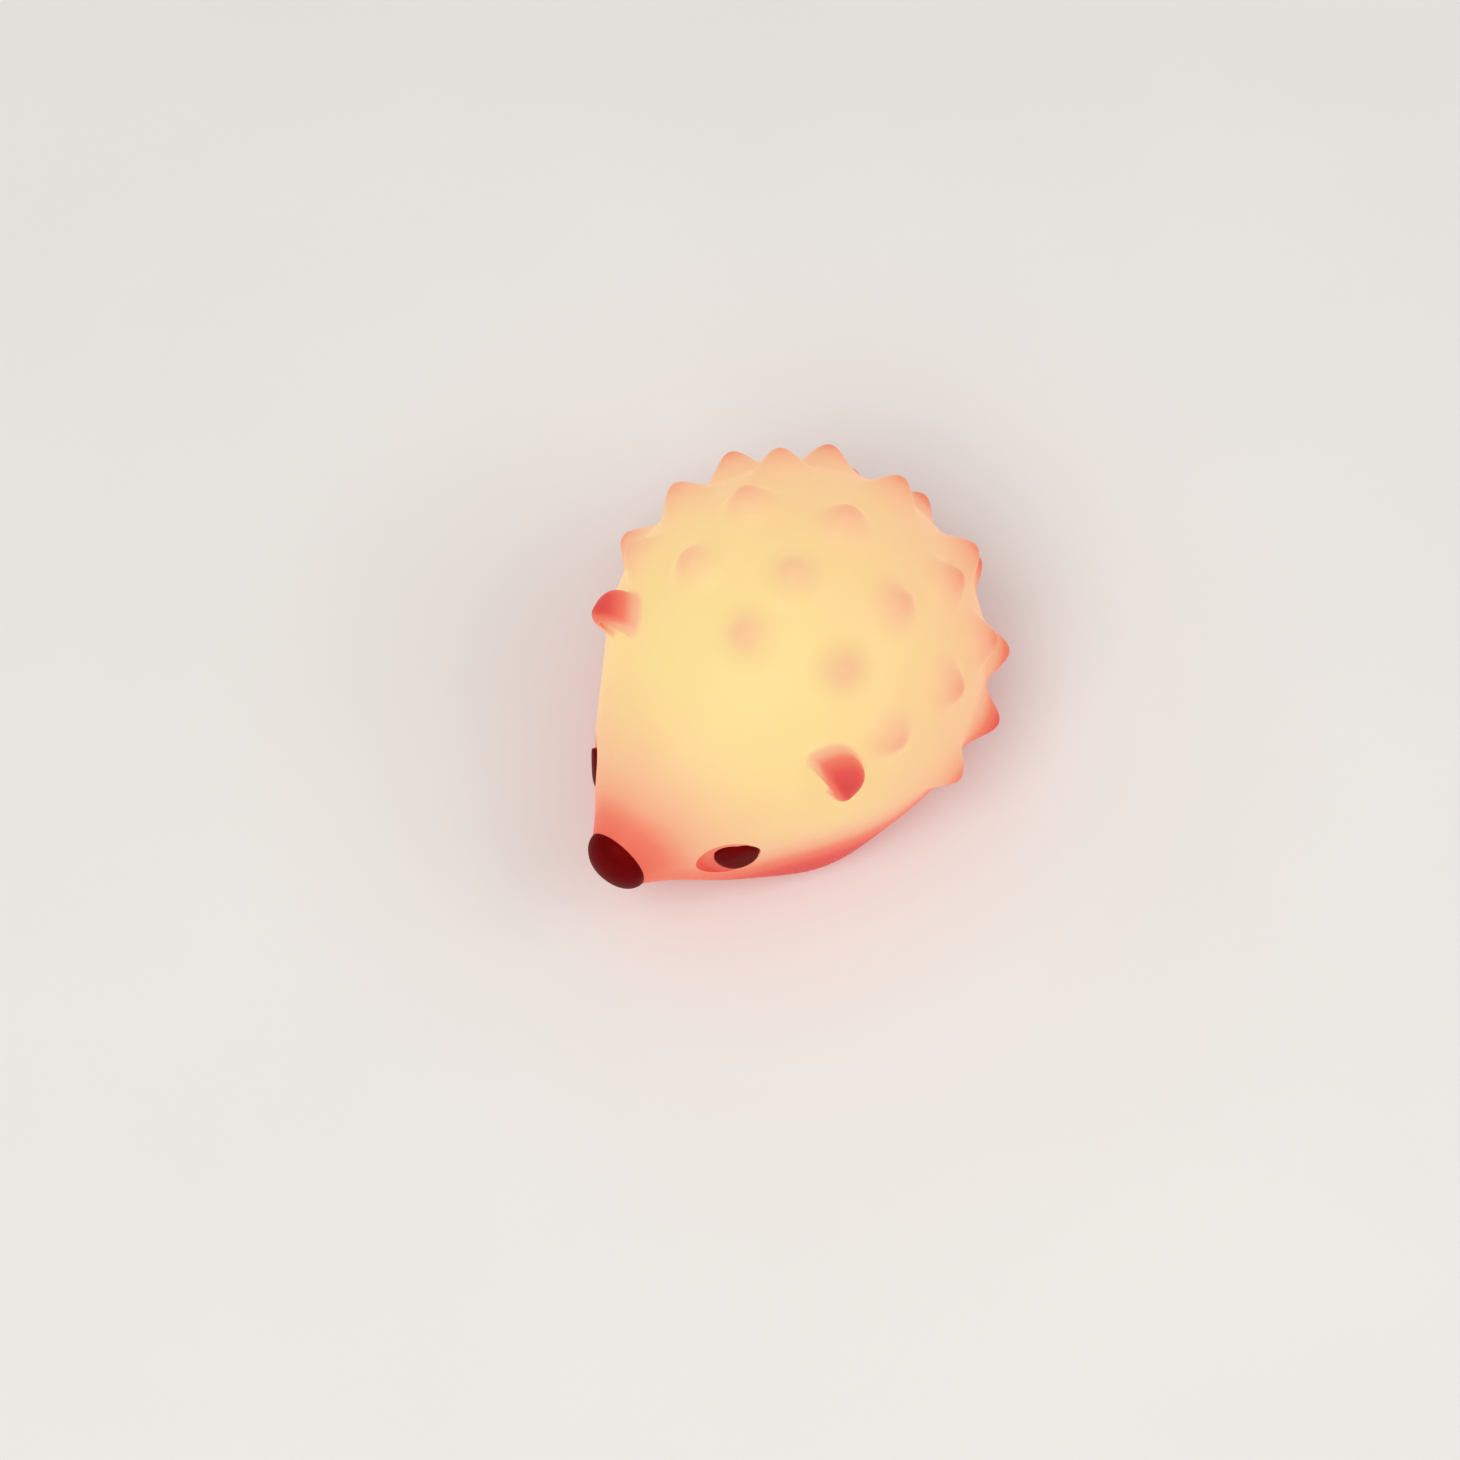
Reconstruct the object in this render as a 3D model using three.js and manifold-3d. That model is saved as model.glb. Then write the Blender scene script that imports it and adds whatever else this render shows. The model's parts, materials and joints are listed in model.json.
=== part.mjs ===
import * as THREE from 'three';
import { mergeVertices } from 'three/addons/utils/BufferGeometryUtils.js';
import Module from 'manifold-3d';

const wasm = await Module();
wasm.setup();

// Hedgehog night light. Millimetres, +Z up, nose towards -Y, the animal's left towards +X.
// The table is z = 0 and the body ball's centre stands on the Z axis until the last lines,
// which move the whole lamp so that its bounding box is centred over the origin.

// Body form
const ballRadius = 47.6;
const tableSink = 15.6;
const ballHeight = ballRadius - tableSink;
const muzzleReach = 65.6;
const muzzleRise = 3.4;
const muzzleRadius = 10.2;
const cheekSwell = 0.5;
const roundPower = 2;
const chinPower = 4.4;
const chinMiddleShare = 0.7155;
const chinSpread = 19;
const bellySwellShare = 0.27;
const bellyMiddle = 31;
const bellySpread = 13;
const skinWall = 3;
const cavityShort = 20.69;

// Quills: a bump that rises off the ball with a flared foot and a rounded tip
const quillHeight = 5.9;
const quillFoot = 10;
const quillSharpness = 1.15;
const quillStepPower = 1.2;
const quillRoot = 0.35;
const quillDepth = 1.2;

// Each row lies at one sideways angle. Its rises are angles round the ball, in the
// middle plane's sense: 0 points at the muzzle, 90 straight up and 180 straight back.
const quillRows = [
  { sideways: 0, rises: [68, 89, 113.5, 143, 174, 204] },
  { sideways: 23, rises: [178, 204] },
  { sideways: 25.5, rises: [154] },
  { sideways: 27, rises: [76, 103.5] },
  { sideways: 31.5, rises: [130] },
  { sideways: 51, rises: [67, 142, 178] },
  { sideways: 56, rises: [105] },
  { sideways: 69, rises: [195] },
  { sideways: 84, rises: [62] },
];

// Ears: hoods that open towards the muzzle
const earForward = ballRadius * 0.56723;
const earSideways = ballRadius * 0.60924;
const earUp = ballRadius * 0.43277;
const earLeanShares = [0.85, -0.2, 0.5];
const earHalfWidth = 7.2;
const earDepth = 8.6;
const earLength = 11.5;
const earRim = 1.5;
const earDish = 3.6;

// Nose dome and eyes
const noseSeamBack = 1.7;
const noseDepth = 5.8;
const noseInset = 0.15;
const eyeBehindSeam = 17.3;
const eyeLift = -0.6;
const eyePatchRadius = 7.4;
const eyePatchDepth = 0.9;
const pupilRadius = 5.7;
const pupilGlance = 1.6;
const pupilInset = 0.3;
const pupilThickness = 1.3;
const pegRadius = 1.6;
const pegBarbRadius = 2.4;
const pegBarbLength = 1.6;
const noseSeatWall = 4;

// Underside: feet, base plate and the skin's lip that it traps
const standOff = 1.5;
const baseForward = 5;
const plateRadius = ballRadius * 0.60924;
const plateThickness = 2.2;
const plateChamfer = 0.5;
const lipThickness = 2.5;
const footRadius = 4;
const footPocket = 1.2;
const footOffset = plateRadius * 0.56897;
const footRound = 0.6;

// Inner housing, its flange, bosses and locating ring. Places and lengths in plan, here and
// in the groups below, are shares of its inside radius, so that the core keeps together.
const flangeWidth = 3;
const housingRadius = plateRadius - flangeWidth;
const housingWall = 2;
const housingInside = housingRadius - housingWall;
const flangeThickness = 2;
const deckThickness = 2;
const bossRadius = 3.5;
const bossSideways = housingInside / 3;
const bossForward = housingInside * 0.8;
const ringWall = 1.4;
const ringHeight = 2.4;

// Diffuser
const diffuserWall = 1.5;
const diffuserSkirt = 6;
const diffuserDome = 15;

// Screws
const screwShaft = 1.2;
const screwHead = 2.6;
const screwHeadHeight = 1;
const screwLength = 10;
const screwTip = 1;
const screwTipShare = 0.4;
const screwCrownShare = 0.8;
const boardScrewShaft = 0.9;
const boardScrewHead = 1.8;
const boardScrewHeadHeight = 1;
const boardScrewLength = 4.5;

// Control board and its posts
const postRadius = 2.2;
const postHeight = 5.5;
const postSideways = housingInside * 0.70833;
const postForward = housingInside * 0.375;
const boardLength = housingInside * 1.66667;
const boardWidth = housingInside;
const boardThickness = 1.2;
const chipLength = 5;
const chipWidth = 4;
const chipHeight = 1;

// Battery, its pads, plug and leads
const cellLength = housingInside * 1.41667;
const cellWidth = housingInside;
const cellThickness = 8;
const cellCorner = 2;
const cellShift = 1;
const padInset = 3;
const padLength = cellLength - 2 * padInset;
const padWidth = cellWidth - 2 * (padInset + 1);
const padThickness = 1.5;
const plugLength = 3;
const plugWidth = 7;
const plugHeight = 3;
const leadRadius = 0.6;
const leadSpacing = 2.4;
const leadRise = 5.5;
const lightLeadRadius = 0.8;
const lightLeadBow = 0.5;

// Light board, its lights and tap sensor
const lightBoardThickness = 1.6;
const lightCount = 6;
const lightInset = 8.5;
const lightSide = 5;
const lightHeight = 1.2;
const lensRadius = 2;
const lensHeight = 0.6;
const resistorLength = 2;
const resistorWidth = 1.2;
const resistorHeight = 0.6;
const resistorInset = 3;
const sensorRadius = 2.6;
const sensorHeight = 5.5;
const sensorRim = 0.5;
const sensorRimHeight = 0.8;

// Charging socket and charge light
const socketForward = housingInside * 0.29167;
const socketWidth = 9;
const socketDepth = 3.2;
const socketShell = 0.35;
const socketRecess = 0.5;
const socketBack = 1;
const tongueWidth = 6.6;
const tongueThickness = 0.7;
const tongueSet = 0.8;
const pipeRadius = 1.2;
const pipeCollar = 0.8;
const pipeCollarHeight = 1;
const pipeSideways = housingInside * 0.375;
const pipeForward = socketForward;

// Power slide switch
const switchSideways = housingInside * 0.375;
const switchForward = housingInside * 0.20833;
const switchLength = 9;
const switchWidth = 4;
const switchHeight = 3.5;
const switchGroove = 1.2;
const knobTravel = 2.5;
const knobLength = 5;
const knobWidth = 4;
const knobHeight = 1.1;
const knobRidge = 0.35;
const knobRidgeCount = 3;
const knobRecess = 1.2;
const knobStemLength = 2;
const knobStemWidth = 1.6;

// Timer push button and its switch
const buttonSideways = switchSideways;
const buttonForward = switchForward;
const buttonRadius = 3.2;
const buttonFlange = 0.9;
const buttonFlangeHeight = 0.8;
const buttonProud = 0.5;
const buttonTravel = 0.8;
const plungerRadius = 1.7;
const plungerLength = 1.9;
const tactSide = 6;
const tactHeight = 3.2;

// Fits
const clearance = 0.3;
const overrun = 2;

// How finely round forms are divided
const bodySides = 36;
const bodyBallSteps = 15;
const bodyConeSteps = 7;
const bodyTipSteps = 4;
const cavitySides = 24;
const cavityBallSteps = 10;
const cavityConeSteps = 2;
const cavityTipSteps = 3;
const quillSides = 8;
const quillSteps = 4;
const earSides = 14;
const casingSides = 28;
const cornerSteps = 3;
const domeSteps = 5;
const roundSides = 16;
const smallSides = 8;
const noseSides = 24;
const noseSteps = 5;
const leadSides = 8;
const leadSteps = 6;

// Heights that stack up from the table
const plateBottom = standOff;
const plateTop = plateBottom + plateThickness;
const lipBottom = plateTop + clearance;
const lipTop = lipBottom + lipThickness;
const flangeBottom = lipTop + clearance;
const flangeTop = flangeBottom + flangeThickness;
const postTop = plateTop + postHeight;
const boardBottom = postTop + clearance;
const boardTop = boardBottom + boardThickness;
const lowerPadBottom = boardTop + clearance;
const cellBottom = lowerPadBottom + padThickness + clearance;
const cellTop = cellBottom + cellThickness;
const upperPadBottom = cellTop + clearance;
const deckBottom = upperPadBottom + padThickness + clearance;
const deckTop = deckBottom + deckThickness;
const lightBoardBottom = deckTop + clearance;
const lightBoardTop = lightBoardBottom + lightBoardThickness;
const diffuserBottom = deckTop + clearance;
const underBoard = boardBottom - clearance;

const materials = {
  silicone: new THREE.MeshStandardMaterial({ color: 0xfbd3a4, roughness: 0.55, metalness: 0 }),
  black: new THREE.MeshStandardMaterial({ color: 0x1c0d0f, roughness: 0.35, metalness: 0 }),
  casing: new THREE.MeshStandardMaterial({ color: 0xf1ece2, roughness: 0.5, metalness: 0 }),
  diffuser: new THREE.MeshStandardMaterial({ color: 0xf8f4ea, roughness: 0.6, metalness: 0 }),
  board: new THREE.MeshStandardMaterial({ color: 0x1f6b45, roughness: 0.45, metalness: 0 }),
  lightBoard: new THREE.MeshStandardMaterial({ color: 0xf3f3ee, roughness: 0.4, metalness: 0 }),
  light: new THREE.MeshStandardMaterial({ color: 0xffe9b0, roughness: 0.3, metalness: 0 }),
  cell: new THREE.MeshStandardMaterial({ color: 0x9aa3ab, roughness: 0.35, metalness: 0.6 }),
  foam: new THREE.MeshStandardMaterial({ color: 0x35363a, roughness: 0.95, metalness: 0 }),
  steel: new THREE.MeshStandardMaterial({ color: 0xb9bcc0, roughness: 0.3, metalness: 1 }),
  rubber: new THREE.MeshStandardMaterial({ color: 0xe4ded2, roughness: 0.8, metalness: 0 }),
  redLead: new THREE.MeshStandardMaterial({ color: 0xb3261e, roughness: 0.5, metalness: 0 }),
  blackLead: new THREE.MeshStandardMaterial({ color: 0x202022, roughness: 0.5, metalness: 0 }),
  clear: new THREE.MeshStandardMaterial({ color: 0xdfe8ee, roughness: 0.15, metalness: 0 }),
};

// Closed geometry with shared corners and its faces turned out
function closed(geometry) {
  const bare = geometry.clone();
  bare.deleteAttribute('normal');
  bare.deleteAttribute('uv');
  const welded = mergeVertices(bare);
  const place = welded.attributes.position;
  const faces = [];
  const [a, b, c] = [new THREE.Vector3(), new THREE.Vector3(), new THREE.Vector3()];
  let volume = 0;
  for (let i = 0; i < welded.index.count; i += 3) {
    const corners = [0, 1, 2].map((k) => welded.index.getX(i + k));
    if (new Set(corners).size < 3) continue;
    a.fromBufferAttribute(place, corners[0]);
    b.fromBufferAttribute(place, corners[1]);
    c.fromBufferAttribute(place, corners[2]);
    volume += a.dot(b.cross(c));
    faces.push(corners);
  }
  const turned = volume < 0 ? faces.map(([p, q, r]) => [p, r, q]) : faces;
  welded.setIndex(turned.flat());
  return welded;
}

function solid(geometry) {
  const body = closed(geometry);
  return new wasm.Manifold(new wasm.Mesh({
    numProp: 3,
    vertProperties: new Float32Array(body.attributes.position.array),
    triVerts: new Uint32Array(body.index.array),
  }));
}

function skinOf(body) {
  const faces = body.getMesh();
  const geometry = new THREE.BufferGeometry();
  geometry.setAttribute('position', new THREE.BufferAttribute(new Float32Array(faces.vertProperties), 3));
  geometry.setIndex(Array.from(faces.triVerts));
  geometry.computeVertexNormals();
  return geometry;
}

function drum(radius, low, high, x = 0, y = 0, sides = roundSides) {
  const geometry = new THREE.CylinderGeometry(radius, radius, high - low, sides);
  return geometry.rotateX(Math.PI / 2).translate(x, y, (low + high) / 2);
}

// A round hole along Z
function bored(body, radius, low, high, x, y, sides) {
  return body.subtract(solid(drum(radius, low, high, x, y, sides)));
}

function block(length, width, low, high, x = 0, y = 0) {
  return new THREE.BoxGeometry(length, width, high - low).translate(x, y, (low + high) / 2);
}

// A profile of [radius, height] points turned round the Z axis
function turned(profile, sides = roundSides) {
  const points = profile.map(([radius, height]) => new THREE.Vector2(radius, height));
  return closed(new THREE.LatheGeometry(points, sides).rotateX(Math.PI / 2));
}

// An outline with round ends, raised from low to high
function slab(length, width, corner, low, high, steps = cornerSteps) {
  const shape = new THREE.Shape();
  const x = length / 2 - corner;
  const y = width / 2 - corner;
  shape.absarc(x, y, corner, 0, Math.PI / 2);
  shape.absarc(-x, y, corner, Math.PI / 2, Math.PI);
  shape.absarc(-x, -y, corner, Math.PI, 1.5 * Math.PI);
  shape.absarc(x, -y, corner, 1.5 * Math.PI, 2 * Math.PI);
  const rise = { depth: high - low, bevelEnabled: false, curveSegments: steps };
  return new THREE.ExtrudeGeometry(shape, rise).translate(0, 0, low);
}

// A closed skin over rings of points, pole to pole
function loft(startPole, rings, endPole) {
  const points = [startPole, ...rings.flat(), endPole];
  const sides = rings[0].length;
  const last = points.length - 1;
  const faces = [];
  for (let side = 0; side < sides; side += 1) {
    const next = (side + 1) % sides;
    faces.push(0, 1 + next, 1 + side);
    const end = last - sides;
    faces.push(last, end + side, end + next);
    for (let ring = 0; ring < rings.length - 1; ring += 1) {
      const low = 1 + ring * sides;
      const high = low + sides;
      faces.push(low + side, low + next, high + next);
      faces.push(low + side, high + next, high + side);
    }
  }
  const geometry = new THREE.BufferGeometry().setFromPoints(points);
  geometry.setIndex(faces);
  return closed(geometry);
}

// Body form: a ball, the cone that touches it, and the muzzle's round end, all about an
// axis that rises towards the muzzle. The lower half is squarer under the chin, and its
// belly swells sideways ahead of the ball's middle, where the lamp rests on the table.
const axisLength = Math.hypot(muzzleReach, muzzleRise);
const axisTilt = Math.atan2(muzzleRise, muzzleReach);
const coneSine = (ballRadius - muzzleRadius) / axisLength;
const coneAngle = Math.asin(coneSine);
const ballCentre = new THREE.Vector3(0, 0, ballHeight);
const noseSeam = axisLength + muzzleRadius * coneSine - noseSeamBack;
const eyeAlong = noseSeam - eyeBehindSeam;
const chinMiddle = axisLength * chinMiddleShare;
const cavityReach = axisLength - cavityShort;

function bodyPoint(along, radius, angle) {
  const low = Math.sin(angle) < 0 ? 1 : 0;
  const chin = low * Math.exp(-(((along - chinMiddle) / chinSpread) ** 2));
  const belly = low * Math.exp(-(((along - bellyMiddle) / bellySpread) ** 2));
  const bend = roundPower / (roundPower + (chinPower - roundPower) * chin);
  const width = radius * (1 + bellySwellShare * belly * Math.sin(angle) ** 2);
  const sideways = width * Math.sign(Math.cos(angle)) * Math.abs(Math.cos(angle)) ** bend;
  const upwards = radius * Math.sign(Math.sin(angle)) * Math.abs(Math.sin(angle)) ** bend;
  const point = new THREE.Vector3(sideways, -along, upwards);
  return point.applyAxisAngle(new THREE.Vector3(1, 0, 0), -axisTilt).add(ballCentre);
}

function bodyRing([along, radius], sides) {
  return Array.from({ length: sides }, (_, k) => bodyPoint(along, radius, (2 * Math.PI * k) / sides));
}

// The radius of the cone about its axis, its cheeks' slight swell included
function coneRadius(along) {
  const start = ballRadius * coneSine;
  const end = axisLength + muzzleRadius * coneSine;
  const swell = cheekSwell * Math.sin((Math.PI * (along - start)) / (end - start)) ** 2;
  return (ballRadius - along * coneSine) / Math.cos(coneAngle) + swell;
}

function bodyForm(ball, reach, tip, sides, ballSteps, coneSteps, tipSteps) {
  const contact = Math.acos((ball - tip) / reach);
  const stations = [];
  for (let i = 1; i <= ballSteps; i += 1) {
    const angle = Math.PI - ((Math.PI - contact) * i) / ballSteps;
    stations.push([ball * Math.cos(angle), ball * Math.sin(angle)]);
  }
  for (let i = 1; i < coneSteps; i += 1) {
    const share = i / coneSteps;
    const along = ball * Math.cos(contact) * (1 - share) + (reach + tip * Math.cos(contact)) * share;
    const radius = (ball * (1 - share) + tip * share) * Math.sin(contact);
    stations.push([along, radius + cheekSwell * Math.sin(Math.PI * share) ** 2]);
  }
  for (let i = 0; i < tipSteps; i += 1) {
    const angle = contact * (1 - i / tipSteps);
    stations.push([reach + tip * Math.cos(angle), tip * Math.sin(angle)]);
  }
  const rings = stations.map((station) => bodyRing(station, sides));
  return loft(bodyPoint(-ball, 0, 0), rings, bodyPoint(reach + tip, 0, 0));
}

function outerForm(inset) {
  return bodyForm(
    ballRadius - inset, axisLength, muzzleRadius - inset,
    bodySides, bodyBallSteps, bodyConeSteps, bodyTipSteps,
  );
}

// The hollow keeps the wall along the ball and cone, and ends short so the nose has a solid seat
function cavityForm() {
  const ball = ballRadius - skinWall;
  return bodyForm(
    ball, cavityReach, ball - cavityReach * coneSine,
    cavitySides, cavityBallSteps, cavityConeSteps, cavityTipSteps,
  );
}

function quillDirection(rise, sideways) {
  const up = THREE.MathUtils.degToRad(rise);
  const out = THREE.MathUtils.degToRad(sideways);
  return new THREE.Vector3(Math.sin(out), -Math.cos(out) * Math.cos(up), Math.cos(out) * Math.sin(up));
}

function quill() {
  const profile = [[0, ballRadius - quillDepth]];
  const foot = Math.sqrt(ballRadius ** 2 - quillFoot ** 2);
  profile.push([quillFoot, foot - quillDepth]);
  for (let i = 0; i <= quillSteps; i += 1) {
    const radius = quillFoot * (1 - i / quillSteps) ** quillStepPower;
    const bump = ((1 + Math.cos((Math.PI * radius) / quillFoot)) / 2) ** quillSharpness;
    const sink = quillRoot * (radius / quillFoot) ** 2;
    profile.push([radius, Math.sqrt(ballRadius ** 2 - radius ** 2) + quillHeight * bump - sink]);
  }
  return turned(profile, quillSides);
}

function quills() {
  const up = new THREE.Vector3(0, 0, 1);
  const one = quill();
  const all = [];
  for (const row of quillRows) {
    for (const rise of row.rises) {
      for (const side of row.sideways === 0 ? [1] : [1, -1]) {
        const direction = quillDirection(rise, side * row.sideways);
        const aim = new THREE.Quaternion().setFromUnitVectors(up, direction);
        all.push(solid(one.clone().applyQuaternion(aim).translate(0, 0, ballHeight)));
      }
    }
  }
  return all;
}

// An ear in its own frame: Z out of the head, Y backwards, the hood's mouth on -Y
function earHood() {
  const egg = new THREE.SphereGeometry(1, earSides, earSides / 2);
  const outer = solid(egg.clone().scale(earHalfWidth, earDepth, earLength));
  const mouth = solid(egg.clone().scale(earHalfWidth - earRim, earDish, earLength - earRim));
  const front = solid(block(
    2 * (earHalfWidth + overrun), earDepth + overrun, -earLength - overrun, earLength + overrun,
    0, -(earDepth + overrun) / 2,
  ));
  return outer.subtract(front).subtract(mouth);
}

function ear(side) {
  const outward = new THREE.Vector3(...earLeanShares).normalize();
  const sideways = new THREE.Vector3().crossVectors(new THREE.Vector3(0, 1, 0), outward).normalize();
  const backward = new THREE.Vector3().crossVectors(outward, sideways);
  const frame = new THREE.Matrix4().makeBasis(sideways, backward, outward);
  frame.setPosition(earSideways, -earForward, ballHeight + earUp);
  const mirror = new THREE.Matrix4().makeScale(side, 1, 1);
  return solid(skinOf(earHood()).applyMatrix4(frame).applyMatrix4(mirror));
}

// The eye's frame on the cone's flank: Z straight out of the skin, X forwards along it
function eyeFrame(side, forward) {
  const tilt = new THREE.Vector3(1, 0, 0);
  const muzzle = new THREE.Vector3(0, -1, 0).applyAxisAngle(tilt, -axisTilt);
  const upright = new THREE.Vector3(0, 0, 1).applyAxisAngle(tilt, -axisTilt);
  const along = eyeAlong + forward * Math.cos(coneAngle);
  const contact = coneRadius(along);
  const lift = Math.asin(eyeLift / contact);
  const radial = new THREE.Vector3(side * Math.cos(lift), 0, 0).addScaledVector(upright, Math.sin(lift));
  const out = radial.clone().multiplyScalar(Math.cos(coneAngle)).addScaledVector(muzzle, coneSine);
  const ahead = muzzle.clone().multiplyScalar(Math.cos(coneAngle)).addScaledVector(radial, -coneSine);
  const frame = new THREE.Matrix4().makeBasis(ahead, new THREE.Vector3().crossVectors(out, ahead), out);
  const seat = ballCentre.clone().addScaledVector(muzzle, along).addScaledVector(radial, contact);
  return frame.setPosition(seat);
}

const pupilFloor = pupilInset + pupilThickness;

// The nose's frame: Z forwards along the muzzle's axis, from the middle of the seam
function noseFrame() {
  const frame = new THREE.Matrix4().makeRotationX(Math.PI / 2 - axisTilt);
  return frame.setPosition(bodyPoint(noseSeam, 0, 0));
}

// A barbed peg down -Z from the piece it holds, its barb's shoulder behind the wall
function barbedPeg(start, shoulder) {
  return turned([
    [0, shoulder - clearance - pegBarbLength],
    [pegRadius, shoulder - clearance - pegBarbLength],
    [pegBarbRadius, shoulder - clearance],
    [pegRadius, shoulder - clearance],
    [pegRadius, start],
    [0, start],
  ], smallSides);
}

// The peg's bore through the wall, wider for the barb behind the shoulder
function pegHole(shoulder) {
  return turned([
    [0, shoulder - pegBarbLength - 2 * overrun],
    [pegBarbRadius + clearance, shoulder - pegBarbLength - 2 * overrun],
    [pegBarbRadius + clearance, shoulder],
    [pegRadius + clearance, shoulder],
    [pegRadius + clearance, overrun],
    [0, overrun],
  ], smallSides);
}

function siliconeSkin() {
  let skin = wasm.Manifold.union([solid(outerForm(0)), ...quills(), ear(1), ear(-1)]);
  const reach = ballRadius + muzzleReach;
  const below = block(2 * reach, 2 * reach, -ballRadius, plateBottom);
  skin = skin.subtract(solid(below));
  const lowFill = block(2 * reach, 2 * reach, -ballRadius, lipTop);
  skin = skin.subtract(solid(cavityForm()).subtract(solid(lowFill)));
  skin = bored(skin, plateRadius + clearance, plateBottom - overrun, lipBottom, 0, -baseForward, casingSides);
  skin = bored(skin, housingRadius + clearance, plateBottom, lipTop + overrun, 0, -baseForward, casingSides);
  for (const side of [1, -1]) {
    const patch = solid(drum(eyePatchRadius, -eyePatchRadius, eyePatchRadius).applyMatrix4(eyeFrame(side, 0)));
    skin = skin.subtract(patch.subtract(solid(outerForm(eyePatchDepth))));
    const frame = eyeFrame(side, -side * pupilGlance);
    const pocket = solid(drum(pupilRadius + clearance, -pupilRadius, pupilRadius).applyMatrix4(frame));
    skin = skin.subtract(pocket.subtract(solid(outerForm(pupilFloor + clearance))));
    skin = skin.subtract(solid(pegHole(-skinWall).applyMatrix4(frame)));
  }
  const beyondSeam = drum(2 * muzzleRadius, 0, muzzleRadius).applyMatrix4(noseFrame());
  const noseHole = pegHole(-noseSeatWall).applyMatrix4(noseFrame());
  return skin.subtract(solid(beyondSeam)).subtract(solid(noseHole));
}

// A pupil: a lens that follows the skin, on a barbed peg that snaps through the wall
function pupil(side) {
  const frame = eyeFrame(side, -side * pupilGlance);
  const disc = solid(drum(pupilRadius, -pupilRadius, pupilRadius).applyMatrix4(frame));
  const lens = disc.intersect(solid(outerForm(pupilInset))).subtract(solid(outerForm(pupilFloor)));
  const peg = barbedPeg(-pupilInset - pupilThickness / 2, -skinWall);
  return lens.add(solid(peg.applyMatrix4(frame)));
}

// The nose: a dome as wide as the muzzle's cut end, with its barbed peg in the thick tip
function nose() {
  const base = noseSeam + clearance;
  const radius = coneRadius(noseSeam) - noseInset;
  const rings = [];
  for (let i = 0; i < noseSteps; i += 1) {
    const angle = (Math.PI / 2) * (1 - i / noseSteps);
    rings.push(bodyRing([base + noseDepth * Math.cos(angle), radius * Math.sin(angle)], noseSides));
  }
  const dome = loft(bodyPoint(base, 0, 0), rings, bodyPoint(base + noseDepth, 0, 0));
  return solid(dome).add(solid(barbedPeg(noseDepth / 2, -noseSeatWall).applyMatrix4(noseFrame())));
}

const cornerSigns = [[1, 1], [-1, 1], [-1, -1], [1, -1]];

function basePlate() {
  const disc = turned([
    [0, plateBottom],
    [plateRadius - plateChamfer, plateBottom],
    [plateRadius, plateBottom + plateChamfer],
    [plateRadius, plateTop],
    [0, plateTop],
  ], casingSides);
  let plate = solid(disc);
  const through = [plateBottom - overrun, plateTop + overrun];
  for (const [x, y] of cornerSigns) {
    const post = [x * postSideways, y * postForward];
    plate = plate.add(solid(drum(postRadius, plateBottom + plateChamfer, postTop, ...post, smallSides)));
    const pilotFloor = boardTop + clearance - boardScrewLength - clearance;
    plate = bored(plate, boardScrewShaft + clearance, pilotFloor, postTop + overrun, ...post, smallSides);
    const screw = [x * bossSideways, y * bossForward];
    plate = bored(plate, screwShaft + clearance, ...through, ...screw, smallSides);
    const counterbore = plateBottom + screwHeadHeight + clearance;
    plate = bored(plate, screwHead + clearance, through[0], counterbore, ...screw);
    const foot = [x * footOffset, y * footOffset];
    plate = bored(plate, footRadius + clearance, through[0], plateBottom + footPocket, ...foot);
  }
  const socketHole = slab(socketWidth + 2 * clearance, socketDepth + 2 * clearance, socketDepth / 2, ...through);
  plate = plate.subtract(solid(socketHole.translate(0, socketForward, 0)));
  const recess = slab(
    knobLength + knobTravel + 2 * clearance, knobWidth + 2 * clearance, knobWidth / 2,
    through[0], plateBottom + knobRecess,
  );
  plate = plate.subtract(solid(recess.translate(-switchSideways, -switchForward, 0)));
  const slotLength = knobStemLength + knobTravel + 2 * clearance;
  const slot = block(slotLength, knobStemWidth + 2 * clearance, ...through, -switchSideways, -switchForward);
  plate = plate.subtract(solid(slot));
  plate = bored(plate, buttonRadius + clearance, ...through, buttonSideways, -buttonForward);
  plate = bored(plate, pipeRadius + clearance, ...through, pipeSideways, pipeForward, smallSides);
  return plate;
}

function innerHousing() {
  const wallBottom = plateTop + clearance;
  let housing = solid(drum(housingRadius, wallBottom, deckTop, 0, 0, casingSides));
  housing = bored(housing, housingRadius - housingWall, wallBottom - overrun, deckBottom, 0, 0, casingSides);
  housing = housing.add(solid(turned([
    [housingRadius - housingWall / 2, flangeBottom],
    [plateRadius, flangeBottom],
    [plateRadius, flangeTop],
    [housingRadius - housingWall / 2, flangeTop],
    [housingRadius - housingWall / 2, flangeBottom],
  ], casingSides)));
  const ringOuter = housingRadius - diffuserWall - clearance;
  housing = housing.add(solid(turned([
    [ringOuter - ringWall, deckTop - deckThickness / 2],
    [ringOuter, deckTop - deckThickness / 2],
    [ringOuter, deckTop + ringHeight],
    [ringOuter - ringWall, deckTop + ringHeight],
    [ringOuter - ringWall, deckTop - deckThickness / 2],
  ], casingSides)));
  for (const [x, y] of cornerSigns) {
    const place = [x * bossSideways, y * bossForward];
    housing = housing.add(solid(drum(bossRadius, wallBottom, deckTop - deckThickness / 2, ...place)));
    const pilotTop = plateBottom + screwHeadHeight + screwLength + clearance;
    housing = bored(housing, screwShaft + clearance, wallBottom - overrun, pilotTop, ...place, smallSides);
  }
  const leadHole = lightLeadRadius + clearance;
  return bored(housing, leadHole, deckBottom - overrun, deckTop + overrun, lightLeadPlace, 0, smallSides);
}

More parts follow.
